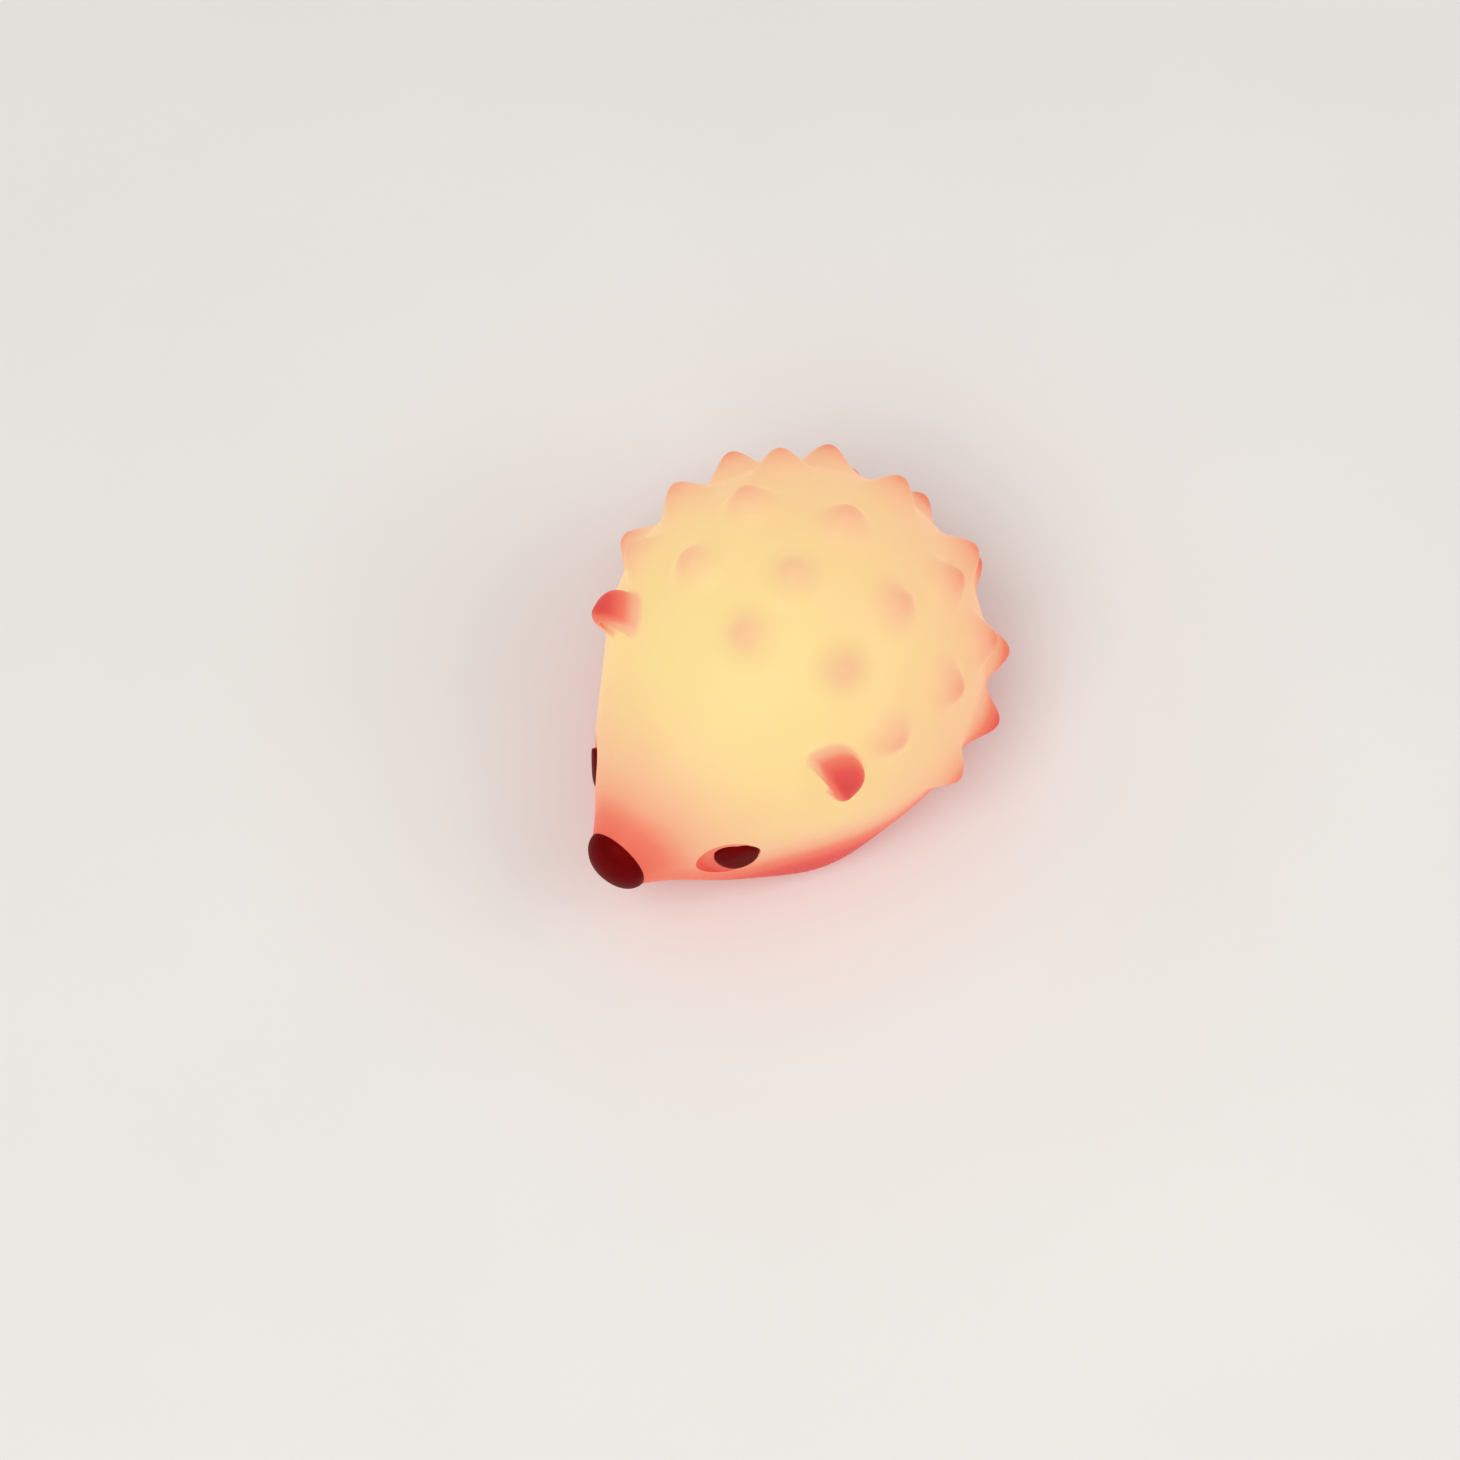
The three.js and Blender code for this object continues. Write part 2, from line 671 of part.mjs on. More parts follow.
function diffuser() {
  const inner = housingRadius - diffuserWall;
  const shoulder = diffuserBottom + diffuserSkirt;
  const steps = domeSteps;
  const profile = [];
  for (let i = 0; i <= steps; i += 1) {
    const angle = (Math.PI / 2) * (1 - i / steps);
    const height = shoulder + (diffuserDome - diffuserWall) * Math.sin(angle);
    profile.push([inner * Math.cos(angle), height]);
  }
  profile.push([inner, diffuserBottom], [housingRadius, diffuserBottom]);
  for (let i = 0; i <= steps; i += 1) {
    const angle = (Math.PI / 2) * (i / steps);
    profile.push([housingRadius * Math.cos(angle), shoulder + diffuserDome * Math.sin(angle)]);
  }
  profile[0][0] = 0;
  profile[profile.length - 1][0] = 0;
  return turned(profile, casingSides);
}

function screw(shaft, head, headHeight, length) {
  return turned([
    [0, 0],
    [head * screwCrownShare, 0],
    [head, headHeight / 2],
    [head, headHeight],
    [shaft, headHeight],
    [shaft, headHeight + length - screwTip],
    [shaft * screwTipShare, headHeight + length],
    [0, headHeight + length],
  ], smallSides);
}

function foot() {
  const top = plateBottom + footPocket - clearance;
  return turned([
    [0, 0],
    [footRadius - footRound, 0],
    [footRadius, footRound],
    [footRadius, top],
    [0, top],
  ]);
}

function controlBoard() {
  let board = solid(block(boardLength, boardWidth, boardBottom, boardTop));
  for (const [x, y] of cornerSigns) {
    const place = [x * postSideways, y * postForward];
    const shaft = boardScrewShaft + clearance;
    board = bored(board, shaft, boardBottom - overrun, boardTop + overrun, ...place, smallSides);
  }
  const chips = [[0, -socketForward], [-postSideways + chipLength, socketForward]];
  for (const [x, y] of chips) {
    const chip = block(chipLength, chipWidth, boardBottom - chipHeight, boardTop - boardThickness / 2, x, y);
    board = board.add(solid(chip));
  }
  return board;
}

const lightBoardRadius = housingRadius - diffuserWall - ringWall - 2 * clearance;
const resistorCircle = lightBoardRadius - resistorInset;
const lightCircle = lightBoardRadius - lightInset;

function lightBoard() {
  let board = solid(drum(lightBoardRadius, lightBoardBottom, lightBoardTop, 0, 0, casingSides));
  for (let i = 0; i < lightCount; i += 1) {
    const angle = (Math.PI * (2 * i + 1)) / lightCount;
    const part = block(
      resistorLength, resistorWidth, lightBoardTop - lightBoardThickness / 2, lightBoardTop + resistorHeight,
    );
    part.translate(resistorCircle, 0, 0).rotateZ(angle);
    board = board.add(solid(part));
  }
  return board;
}

function lightChip() {
  const lens = new THREE.SphereGeometry(1, smallSides, smallSides / 2).rotateX(Math.PI / 2);
  lens.scale(lensRadius, lensRadius, lensHeight).translate(0, 0, lightHeight);
  return solid(block(lightSide, lightSide, 0, lightHeight)).add(solid(lens));
}

function tapSensor() {
  return turned([
    [0, 0],
    [sensorRadius + sensorRim, 0],
    [sensorRadius + sensorRim, sensorRimHeight],
    [sensorRadius, sensorRimHeight],
    [sensorRadius, sensorHeight],
    [0, sensorHeight],
  ]);
}

function socket() {
  const low = plateBottom + socketRecess;
  const shell = solid(slab(socketWidth, socketDepth, socketDepth / 2, low, underBoard));
  const mouth = solid(slab(
    socketWidth - 2 * socketShell, socketDepth - 2 * socketShell, socketDepth / 2 - socketShell,
    low - overrun, underBoard - socketBack,
  ));
  const tongue = solid(block(
    tongueWidth, tongueThickness, low + tongueSet, underBoard - socketBack / 2,
  ));
  return shell.subtract(mouth).add(tongue);
}

function lightPipe() {
  return turned([
    [0, plateBottom],
    [pipeRadius, plateBottom],
    [pipeRadius, plateTop + clearance],
    [pipeRadius + pipeCollar, plateTop + clearance],
    [pipeRadius + pipeCollar, plateTop + clearance + pipeCollarHeight],
    [pipeRadius, plateTop + clearance + pipeCollarHeight],
    [pipeRadius, underBoard],
    [0, underBoard],
  ], smallSides);
}

function switchBody() {
  const low = underBoard - switchHeight;
  const body = solid(block(switchLength, switchWidth, low, underBoard));
  const grooveLength = knobStemLength + knobTravel + 2 * clearance;
  const groove = block(grooveLength, knobStemWidth + 2 * clearance, low - overrun, low + switchGroove);
  return body.subtract(solid(groove));
}

// The knob's cap lies in the plate's recess, and its stem reaches the switch through the slot
function switchKnob() {
  const capTop = plateBottom + knobRecess - clearance;
  const capBottom = capTop - knobHeight;
  let knob = solid(slab(knobLength, knobWidth, knobWidth / 2, capBottom, capTop));
  const stemTop = underBoard - switchHeight + switchGroove - clearance;
  knob = knob.add(solid(block(knobStemLength, knobStemWidth, capTop - knobHeight / 2, stemTop)));
  for (let i = 0; i < knobRidgeCount; i += 1) {
    const place = ((i - (knobRidgeCount - 1) / 2) * knobLength) / (knobRidgeCount + 1);
    const ridge = block(knobRidge, knobWidth / 2, capBottom - knobRidge, capTop - knobHeight / 2, place, 0);
    knob = knob.add(solid(ridge));
  }
  return knob;
}

function timerButton() {
  const flangeLow = plateTop + clearance;
  return turned([
    [0, plateBottom - buttonProud],
    [buttonRadius - plateChamfer, plateBottom - buttonProud],
    [buttonRadius, plateBottom - buttonProud + plateChamfer],
    [buttonRadius, flangeLow],
    [buttonRadius + buttonFlange, flangeLow],
    [buttonRadius + buttonFlange, flangeLow + buttonFlangeHeight],
    [0, flangeLow + buttonFlangeHeight],
  ]);
}

const plungerBottom = plateTop + clearance + buttonFlangeHeight + clearance;

function tactBody() {
  const low = underBoard - tactHeight;
  const body = solid(block(tactSide, tactSide, low, underBoard));
  const boreTop = plungerBottom + plungerLength + buttonTravel + clearance;
  return body.subtract(solid(drum(plungerRadius + clearance, low - overrun, boreTop, 0, 0, smallSides)));
}

// A lead: a round wire swept along a smooth curve through its points
function lead(points, radius) {
  const path = new THREE.CatmullRomCurve3(points.map((point) => new THREE.Vector3(...point)));
  const section = new THREE.Shape();
  for (let i = 0; i < leadSides; i += 1) {
    const angle = (2 * Math.PI * i) / leadSides;
    const corner = [radius * Math.cos(angle), radius * Math.sin(angle)];
    if (i === 0) section.moveTo(...corner);
    else section.lineTo(...corner);
  }
  section.closePath();
  return new THREE.ExtrudeGeometry(section, { steps: leadSteps, extrudePath: path, bevelEnabled: false });
}

const cellEnd = cellLength / 2 - cellShift;
const plugPlace = cellEnd + clearance + plugLength / 2;
const plugTop = boardTop + clearance + plugHeight;
const lightLeadPlace = -cellLength / 2 - cellShift - lightLeadRadius;

function batteryLead(y) {
  return lead([
    [cellEnd + clearance, y, plugTop + leadRise],
    [cellEnd + clearance + leadRadius, y, plugTop + leadRise],
    [plugPlace, y, plugTop + leadRise - plugLength / 2],
    [plugPlace, y, plugTop + clearance],
  ], leadRadius);
}

function lightLead() {
  return lead([
    [lightLeadPlace, 0, boardTop + clearance],
    [lightLeadPlace - lightLeadBow, 0, cellBottom + cellThickness / 2],
    [lightLeadPlace, 0, deckBottom],
    [lightLeadPlace, 0, lightBoardBottom - clearance],
  ], lightLeadRadius);
}

const lamp = new THREE.Group();
const core = new THREE.Group();
core.position.y = -baseForward;
lamp.add(core);

function addPiece(parent, name, shape, material, x = 0, y = 0, z = 0) {
  const geometry = shape.isBufferGeometry ? shape : skinOf(shape);
  const piece = new THREE.Mesh(geometry, material);
  piece.name = name;
  piece.position.set(x, y, z);
  parent.add(piece);
  return piece;
}

addPiece(lamp, 'silicone_skin', siliconeSkin(), materials.silicone);
addPiece(lamp, 'nose', nose(), materials.black);
addPiece(lamp, 'eye_left', pupil(1), materials.black);
addPiece(lamp, 'eye_right', pupil(-1), materials.black);

addPiece(core, 'base_plate', basePlate(), materials.casing);
addPiece(core, 'inner_housing', innerHousing(), materials.casing);
addPiece(core, 'diffuser_cap', diffuser(), materials.diffuser);
addPiece(core, 'control_board', controlBoard(), materials.board);
addPiece(core, 'light_board', lightBoard(), materials.lightBoard);
addPiece(core, 'tap_sensor', tapSensor(), materials.steel, 0, 0, lightBoardTop + clearance);
addPiece(core, 'charging_socket', socket(), materials.steel, 0, socketForward);
addPiece(core, 'charge_light_pipe', lightPipe(), materials.clear, pipeSideways, pipeForward);
for (let i = 0; i < lightCount; i += 1) {
  const angle = (2 * Math.PI * i) / lightCount;
  const place = [lightCircle * Math.cos(angle), lightCircle * Math.sin(angle), lightBoardTop + clearance];
  addPiece(core, `light_${i + 1}`, lightChip(), materials.light, ...place).rotation.z = angle;
}

const cell = slab(cellLength, cellWidth, cellCorner, cellBottom, cellTop);
addPiece(core, 'battery_cell', cell, materials.cell, -cellShift);
const pad = slab(padLength, padWidth, cellCorner, 0, padThickness);
addPiece(core, 'battery_pad_lower', pad, materials.foam, -cellShift, 0, lowerPadBottom);
addPiece(core, 'battery_pad_upper', pad, materials.foam, -cellShift, 0, upperPadBottom);
const plug = block(plugLength, plugWidth, 0, plugHeight);
addPiece(core, 'battery_plug', plug, materials.lightBoard, plugPlace, 0, boardTop + clearance);
addPiece(core, 'battery_lead_red', batteryLead(leadSpacing / 2), materials.redLead);
addPiece(core, 'battery_lead_black', batteryLead(-leadSpacing / 2), materials.blackLead);
addPiece(core, 'light_lead', lightLead(), materials.blackLead);

addPiece(core, 'power_switch_body', switchBody(), materials.blackLead, -switchSideways, -switchForward);
const knobPlace = -switchSideways + knobTravel / 2;
addPiece(core, 'power_switch_knob', switchKnob(), materials.blackLead, knobPlace, -switchForward);
addPiece(core, 'timer_switch_body', tactBody(), materials.blackLead, buttonSideways, -buttonForward);
addPiece(core, 'timer_button', timerButton(), materials.casing, buttonSideways, -buttonForward);
const plunger = drum(plungerRadius, plungerBottom, plungerBottom + plungerLength, 0, 0, smallSides);
addPiece(core, 'timer_plunger', plunger, materials.blackLead, buttonSideways, -buttonForward);

const caseScrew = screw(screwShaft, screwHead, screwHeadHeight, screwLength);
const boardScrew = screw(boardScrewShaft, boardScrewHead, boardScrewHeadHeight, boardScrewLength);
const boardScrewTop = boardTop + clearance + boardScrewHeadHeight;
cornerSigns.forEach(([x, y], i) => {
  addPiece(core, `foot_${i + 1}`, foot(), materials.rubber, x * footOffset, y * footOffset);
  const casePlace = [x * bossSideways, y * bossForward, plateBottom];
  addPiece(core, `case_screw_${i + 1}`, caseScrew, materials.steel, ...casePlace);
  const boardPlace = [x * postSideways, y * postForward, boardScrewTop];
  addPiece(core, `board_screw_${i + 1}`, boardScrew, materials.steel, ...boardPlace).rotation.x = Math.PI;
});

const extent = new THREE.Box3().setFromObject(lamp, true);
lamp.position.set(-(extent.min.x + extent.max.x) / 2, -(extent.min.y + extent.max.y) / 2, -extent.min.z);

export default lamp;
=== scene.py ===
import json
from math import acos, asin, atan2, cos, hypot, pi, radians, sin, sqrt

import bpy
import numpy as np
from bpy.props import FloatProperty, FloatVectorProperty, IntProperty, PointerProperty
from mathutils import Matrix, Vector
from mathutils.bvhtree import BVHTree


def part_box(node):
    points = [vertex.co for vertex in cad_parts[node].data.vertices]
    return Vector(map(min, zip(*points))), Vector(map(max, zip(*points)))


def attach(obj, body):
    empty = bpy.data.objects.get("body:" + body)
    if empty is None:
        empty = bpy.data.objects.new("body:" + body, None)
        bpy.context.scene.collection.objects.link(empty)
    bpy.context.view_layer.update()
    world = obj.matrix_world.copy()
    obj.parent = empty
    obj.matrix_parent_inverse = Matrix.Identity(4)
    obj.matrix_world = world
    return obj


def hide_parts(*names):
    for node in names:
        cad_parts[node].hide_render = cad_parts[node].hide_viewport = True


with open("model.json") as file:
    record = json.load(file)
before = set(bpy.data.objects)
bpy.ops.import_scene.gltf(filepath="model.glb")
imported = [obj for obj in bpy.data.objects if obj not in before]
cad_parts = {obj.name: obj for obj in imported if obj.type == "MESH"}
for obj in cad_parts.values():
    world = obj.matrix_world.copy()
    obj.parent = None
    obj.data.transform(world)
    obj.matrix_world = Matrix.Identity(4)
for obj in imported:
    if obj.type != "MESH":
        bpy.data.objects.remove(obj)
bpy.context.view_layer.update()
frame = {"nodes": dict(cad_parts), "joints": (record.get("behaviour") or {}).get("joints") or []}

bl_info = {
    "name": "Hedgehog Night Light",
    "version": (1, 0, 0),
    "blender": (4, 5, 0),
    "location": "View3D > Sidebar > Night Light",
    "description": "Builds the glowing skin, face, underside and finishes of a hedgehog night light",
    "category": "Object",
}

MM = 0.001


def middle(node):
    """The middle of a node's box in the frame."""
    low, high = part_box(node)
    return (low + high) / 2


def radius_of(node):
    """Half the width of a node's box in the frame."""
    low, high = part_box(node)
    return (high.x - low.x) / 2


def linear(code):
    """The linear colour of an sRGB hex value such as #fbdd95."""
    shares = [int(code[i : i + 2], 16) / 255 for i in (1, 3, 5)]
    return [c / 12.92 if c <= 0.04045 else ((c + 0.055) / 1.055) ** 2.4 for c in shares]


# Play between the core's pieces, the plate's thickness over a foot's pocket, and how near a
# point is to a surface that it counts as on it
CLEARANCE = 0.3 * MM
PLATE_OVER_FOOT = 1.3 * MM
ON_SURFACE = 0.05 * MM

# Places that come from the frame: the core's upright axis and the plate's faces and edge
core = middle("base_plate")
plate_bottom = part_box("base_plate")[0].z
plate_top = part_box("foot_1")[1].z + PLATE_OVER_FOOT
plate_radius = radius_of("base_plate")

# Body form beside the sizes below: the lower half is squarer under the chin, its belly swells
# sideways ahead of the ball's middle, and the muzzle's tip is narrower than it is high.
# Distances are along the muzzle's axis
ROUND_POWER = 2
CHIN_POWER = 4.4
CHIN_MIDDLE = 47 * MM
CHIN_SPREAD = 19 * MM
BELLY_SWELL = 0.27
BELLY_MIDDLE = 31 * MM
BELLY_SPREAD = 13 * MM
HOLLOW_REACH = 45 * MM
SEAM_EDGE = 0.15 * MM
TIP_START = 50 * MM
TIP_NARROWS = 0.15
RIM_EDGE = 0.8 * MM

# The lip that the core clamps: its top over the skin's underside, and the mouth's chamfer
LIP_TOP = 5 * MM
MOUTH_CHAMFER = 0.3 * MM

# Quills: each row lies at one sideways angle, and its rises are angles round the ball in
# the middle plane's sense, where 0 points at the muzzle, 90 straight up and 180 straight back
QUILL_ROWS = {
    0: (68, 89, 113.5, 143, 174, 204),
    23: (178, 204),
    25.5: (154,),
    27: (76, 103.5),
    31.5: (130,),
    51: (67, 142, 178),
    56: (105,),
    69: (195,),
    84: (62,),
}
QUILL_SHARPNESS = 1.15

# Ears: the way that they point, how square they are, and their rounded edges. The fillets
# between an ear and the head widen from its front to its back, at these places behind its
# mouth. A reach is a distance from the ear's middle in ear sizes, and the least slope keeps
# a fillet's steps short where the two surfaces face each other
EAR_LEAN = (0.85, -0.2, 0.5)
EAR_POWER = 3
EAR_ROUND = 2.6 * MM
EAR_EDGE = 0.45 * MM
EAR_BACK_FILLET = 2 * MM
EAR_FRONT_FILLET = 0.8 * MM
FILLET_WIDENS = (-1 * MM, 5 * MM)
FILLET_REACH = 2.2
FILLET_ROUNDS = 3
LEAST_SLOPE = 0.2

# Pegs that hold the nose and the eyes in the skin, and the nose's foot on its seam
PEG_RADIUS = 1.6 * MM
BARB_RADIUS = 2.4 * MM
BARB_LENGTH = 1.6 * MM
NOSE_WALL = 4 * MM
NOSE_GAP = 0.05 * MM
NOSE_FOOT = 0.2 * MM

# The eyes look further ahead and up than the muzzle's side does, by these angles in degrees.
# Each lens sits in a pocket off the middle of its recess, over a pad that thickens the skin
# inside, and stands no more than a little proud of the skin
EYE_TURN = 20
EYE_LIFT = 7
PUPIL_STAND = 0.65 * MM
PUPIL_PROUD = 0.7 * MM
PUPIL_BLEND = 0.25 * MM
PUPIL_THICKNESS = 2.3 * MM
PUPIL_GLANCE = 2.4 * MM
PUPIL_SINK = 0.4 * MM
PATCH_STEP = 0.15 * MM
EYE_PAD = 5.5 * MM
EYE_PAD_MARGIN = 2 * MM

# Underside: the slide knob's recess and its stem's length and width, and two radii
KNOB_RECESS = 1.2 * MM
KNOB_STEM = (2 * MM, 1.6 * MM)
BUTTON_RADIUS = 3.2 * MM
PIPE_RADIUS = 1.2 * MM

# How the glow falls off: light has this far to go from the middle of the core's light, and
# each of these forms lengthens its way. Low down, the core's own housing is in the way. Where
# an ear looks forwards, its dish and its lip lengthen the way less, by these shares
LIGHT_BACK = 6.56 * MM
LIGHT_UP = 9.1 * MM
LIGHT_LENGTH_SHARE = 0.96
LIGHT_HEIGHT_SHARE = 1.03
LOW_START = 5 * MM
LOW_BLEND = 2 * MM
LOW_PATH_PER_DROP = 0.85
HOUSING_END = 61 * MM
HOUSING_BLEND = 5 * MM
SNOUT_PATH = 3 * MM
EAR_ROOT_PATH = 8 * MM
EAR_PATH_PER_RISE = 2.0
EAR_DISH_SHARE = 0.25
EAR_LIP_SHARE = 0.17
EAR_LIP_REACH = (EAR_EDGE, 3 * EAR_EDGE)
EAR_LOOKS_FORWARDS = (0.1, 0.6)
EAR_GLOW_REACH = 2
QUILL_PATH = 5 * MM
QUILL_LEAST_SHARE = 0.4
PATCH_PATH = 9 * MM
GLOW_NEAR = 35 * MM
GLOW_FAR = 75 * MM
GLOW_STOPS = (
    (37, "#fbdf95"),
    (41, "#fad795"),
    (45.6, "#f8ca94"),
    (49.3, "#f7bf92"),
    (54.5, "#f4ab84"),
    (59.6, "#f07d61"),
    (62, "#ee7359"),
    (68, "#e44f46"),
    (75, "#d8443f"),
)

# A noise texture's values are mostly between these. The wall's unevenness moves the glow by
# this much either way
NOISE_LOW = 0.3
NOISE_HIGH = 0.7
UNEVEN_WALL = 0.8 * MM

# Stage: the photo's camera, which looks at the ball's middle from these angles in degrees, and
# each lamp's name, place, size and power
CAMERA_AZIMUTH = 38
CAMERA_ELEVATION = 66.5
CAMERA_DISTANCE = 0.8
CAMERA_LENS = 78.9
CAMERA_SHIFT = (-0.0449, -0.0510)
LAMPS = (
    ("key_lamp", (0.1, -0.9, 1.6), 1.1, 13.5),
    ("fill_lamp", (1.1, 0.5, 1.2), 1.1, 6),
)
FLOOR_HALF = 3


def length(name, description, millimetres):
    """A size that a user can change."""
    return FloatProperty(
        name=name, description=description, default=millimetres * MM, min=0,
        unit="LENGTH", subtype="DISTANCE",
    )


def colour(name, description, code):
    """A colour that a user can change."""
    return FloatVectorProperty(
        name=name, description=description, default=linear(code), size=3, min=0, max=1,
        subtype="COLOR",
    )


class NightLightSizes(bpy.types.PropertyGroup):
    ball_radius: length("Ball radius", "Radius of the round back under the quills", 47.6)
    ball_height: length("Ball height", "Height of the ball's middle above the table", 32)
    base_forward: length("Base forward", "How far the core's axis is ahead of the ball's middle", 5)
    muzzle_reach: length("Muzzle reach", "Level distance from the ball's middle to the tip ball's", 65.6)
    muzzle_rise: length("Muzzle rise", "How much higher the tip ball's middle is than the ball's", 3.4)
    muzzle_radius: length("Muzzle radius", "Radius of the muzzle's tip ball", 10.2)
    cheek_swell: length("Cheek swell", "How far the cheeks stand out of a straight cone", 0.5)
    skin_wall: length("Skin wall", "Thickness of the silicone round its hollow", 3)
    quill_height: length("Quill height", "Height of a quill above the ball", 5.9)
    quill_foot: length("Quill foot", "Radius of a quill's flared foot", 10)
    ear_forward: length("Ear forward", "Distance of an ear's middle ahead of the ball's", 30)
    ear_sideways: length("Ear sideways", "Distance of an ear's middle from the middle plane", 29.6)
    ear_up: length("Ear up", "Height of an ear's middle above the ball's", 22.5)
    ear_half_width: length("Ear half width", "Half the width of an ear", 7.4)
    ear_depth: length("Ear depth", "Depth of an ear's hood behind its mouth", 10.6)
    ear_length: length("Ear length", "Length of an ear out of the head", 10.3)
    ear_rim: length("Ear rim", "Width of an ear's front rim", 3.2)
    ear_dish: length("Ear dish", "Depth of the hollow in an ear's front", 3.6)
    nose_seam: length("Nose seam", "Distance of the nose's seam along the muzzle's axis", 69.8)
    nose_depth: length("Nose depth", "How far the nose stands out of its seam", 5.8)
    eye_along: length("Eye along", "Distance of the eyes along the muzzle's axis", 54)
    eye_drop: length("Eye drop", "How far the eyes are below the muzzle's axis", 0.2)
    patch_radius: length("Eye patch radius", "Radius of the recess round an eye", 7.4)
    patch_depth: length("Eye patch depth", "Depth of the recess round an eye", 0.9)
    pupil_radius: length("Pupil radius", "Radius of an eye's dark lens", 5.5)
    pupil_dome: length("Pupil dome", "Height of a lens' middle over its edge", 1.3)
    body_sides: IntProperty(
        name="Body sides", description="Faces round the skin's body", default=360, min=24
    )


class NightLightColours(bpy.types.PropertyGroup):
    # The rest of the skin's colour is the same glow, painted into its base colour as painted light
    glow_share: FloatProperty(
        name="Glow share",
        description="Share of the skin's colour that comes from the light inside",
        default=0.75, min=0, max=1, subtype="FACTOR",
    )
    insert: colour("Nose and eyes", "Dark tinted plastic of the nose and the eyes", "#690406")
    casing: colour("Casing", "Moulded plastic of the base plate and the housing", "#efe9dd")
    foot: colour("Feet", "Rubber of the feet", "#d9d2c6")
    switch: colour("Switch", "Nylon of the switch knob and bodies", "#26262a")
    floor: colour("Floor", "Painted floor of the stage", "#e9e6e1")


# Meshes


def mesh_object(name, verts, faces):
    """An object in the scene with this mesh."""
    mesh = bpy.data.meshes.new(name)
    mesh.from_pydata(np.asarray(verts, float).tolist(), [], faces)
    mesh.update()
    made = bpy.data.objects.new(name, mesh)
    bpy.context.scene.collection.objects.link(made)
    return made


def loft(name, rings, start, end):
    """A closed skin over rings of points, from a start pole to an end pole."""
    rings = np.asarray(rings, float)
    count, sides = rings.shape[:2]
    verts = np.concatenate([[start], rings.reshape(-1, 3), [end]])
    side = np.arange(sides)
    following = (side + 1) % sides
    last = len(verts) - 1
    low = (1 + sides * np.arange(count - 1))[:, None]
    around = [low + side, low + following, low + sides + following, low + sides + side]
    quads = np.stack(around, -1).reshape(-1, 4)
    first = np.stack([0 * side, 1 + following, 1 + side], -1)
    closing = np.stack([0 * side + last, last - sides + side, last - sides + following], -1)
    a, b, c, d = (verts[quads[:, i]] for i in range(4))
    volume = np.einsum("ij,ij->", a, np.cross(b, c)) + np.einsum("ij,ij->", a, np.cross(c, d))
    for fan in (first, closing):
        p, q, r = (verts[fan[:, i]] for i in range(3))
        volume += np.einsum("ij,ij->", p, np.cross(q, r))
    faces = first.tolist() + quads.tolist() + closing.tolist()
    if volume < 0:
        faces = [face[::-1] for face in faces]
    return mesh_object(name, verts, faces)


def lathe(name, profile, sides=96, place=(0, 0, 0)):
    """A profile of (radius, height) points, from the axis back to the axis, turned round Z."""
    turn = 2 * pi * np.arange(sides) / sides
    rings = [
        np.stack([r * np.cos(turn), r * np.sin(turn), np.full(sides, z)], -1) + place
        for r, z in profile[1:-1]
    ]
    poles = [np.array([0, 0, z]) + place for _, z in (profile[0], profile[-1])]
    return loft(name, rings, *poles)


def pill(name, size, corner, levels, place=(0, 0, 0), steps=12):
    """A bar with round ends along Z. Each level is (how far its outline is drawn in, height)."""
    rings = []
    for inset, height in levels:
        half = [extent / 2 - inset for extent in size]
        bend = max(corner - inset, 1e-6)
        ring = []
        for quarter, (sx, sy) in enumerate(((1, 1), (-1, 1), (-1, -1), (1, -1))):
            for step in range(steps + 1):
                turn = pi / 2 * (quarter + step / steps)
                x = sx * (half[0] - bend) + bend * cos(turn)
                y = sy * (half[1] - bend) + bend * sin(turn)
                ring.append((place[0] + x, place[1] + y, place[2] + height))
        rings.append(ring)
    poles = [(place[0], place[1], place[2] + levels[i][1]) for i in (0, -1)]
    return loft(name, rings, *poles)


def rounded_corner(radius, low, edge):
    """A turned profile's lower corner, rounded, from its underside to its side."""
    turns = np.linspace(0, pi / 2, 6)
    return [(radius - edge * (1 - sin(t)), low + edge * (1 - cos(t))) for t in turns]


def domed_face(radius, low, height, steps):
    """A turned profile's domed underside, from its middle to its edge."""
    turns = np.linspace(0, pi / 2, steps)[1:]
    return [(radius * sin(t), low + height * (1 - cos(t))) for t in turns]


def rounded(low, high, edge, steps=4):
    """Levels of a pill with both ends' edges rounded."""
    turns = [pi / 2 * i / steps for i in range(steps + 1)]
    lower = [(edge * (1 - sin(t)), low + edge * (1 - cos(t))) for t in turns]
    return lower + [(inset, low + high - z) for inset, z in reversed(lower)]


def settle(made):
    """The object's mesh with its modifiers applied."""
    seen = made.evaluated_get(bpy.context.evaluated_depsgraph_get())
    mesh = bpy.data.meshes.new_from_object(seen)
    made.modifiers.clear()
    made.data = mesh
    return made


def combine(target, operation, *tools):
    """Unites the target with the tools, cuts it by them or keeps what they share."""
    for tool in tools:
        modifier = target.modifiers.new("combine", "BOOLEAN")
        modifier.operation = operation
        modifier.solver = "MANIFOLD"
        modifier.object = tool
        settle(target)
        if not target.data.polygons:
            raise RuntimeError(f"{target.name} is empty after {operation} with {tool.name}")
        bpy.data.objects.remove(tool)
    return target


def eased(made, width, segments=2, least_angle=35):
    """Rounds the edges that are sharper than the least angle."""
    bevel = made.modifiers.new("edge", "BEVEL")
    bevel.width = width
    bevel.segments = segments
    bevel.limit_method = "ANGLE"
    bevel.angle_limit = radians(least_angle)
    bevel.harden_normals = True
    return settle(made)


def smooth(made, sharp_above=50):
    """Shades the object smoothly, apart from edges that are sharper than this angle."""
    made.data.shade_smooth()
    made.data.set_sharp_from_angle(angle=radians(sharp_above))
    return made


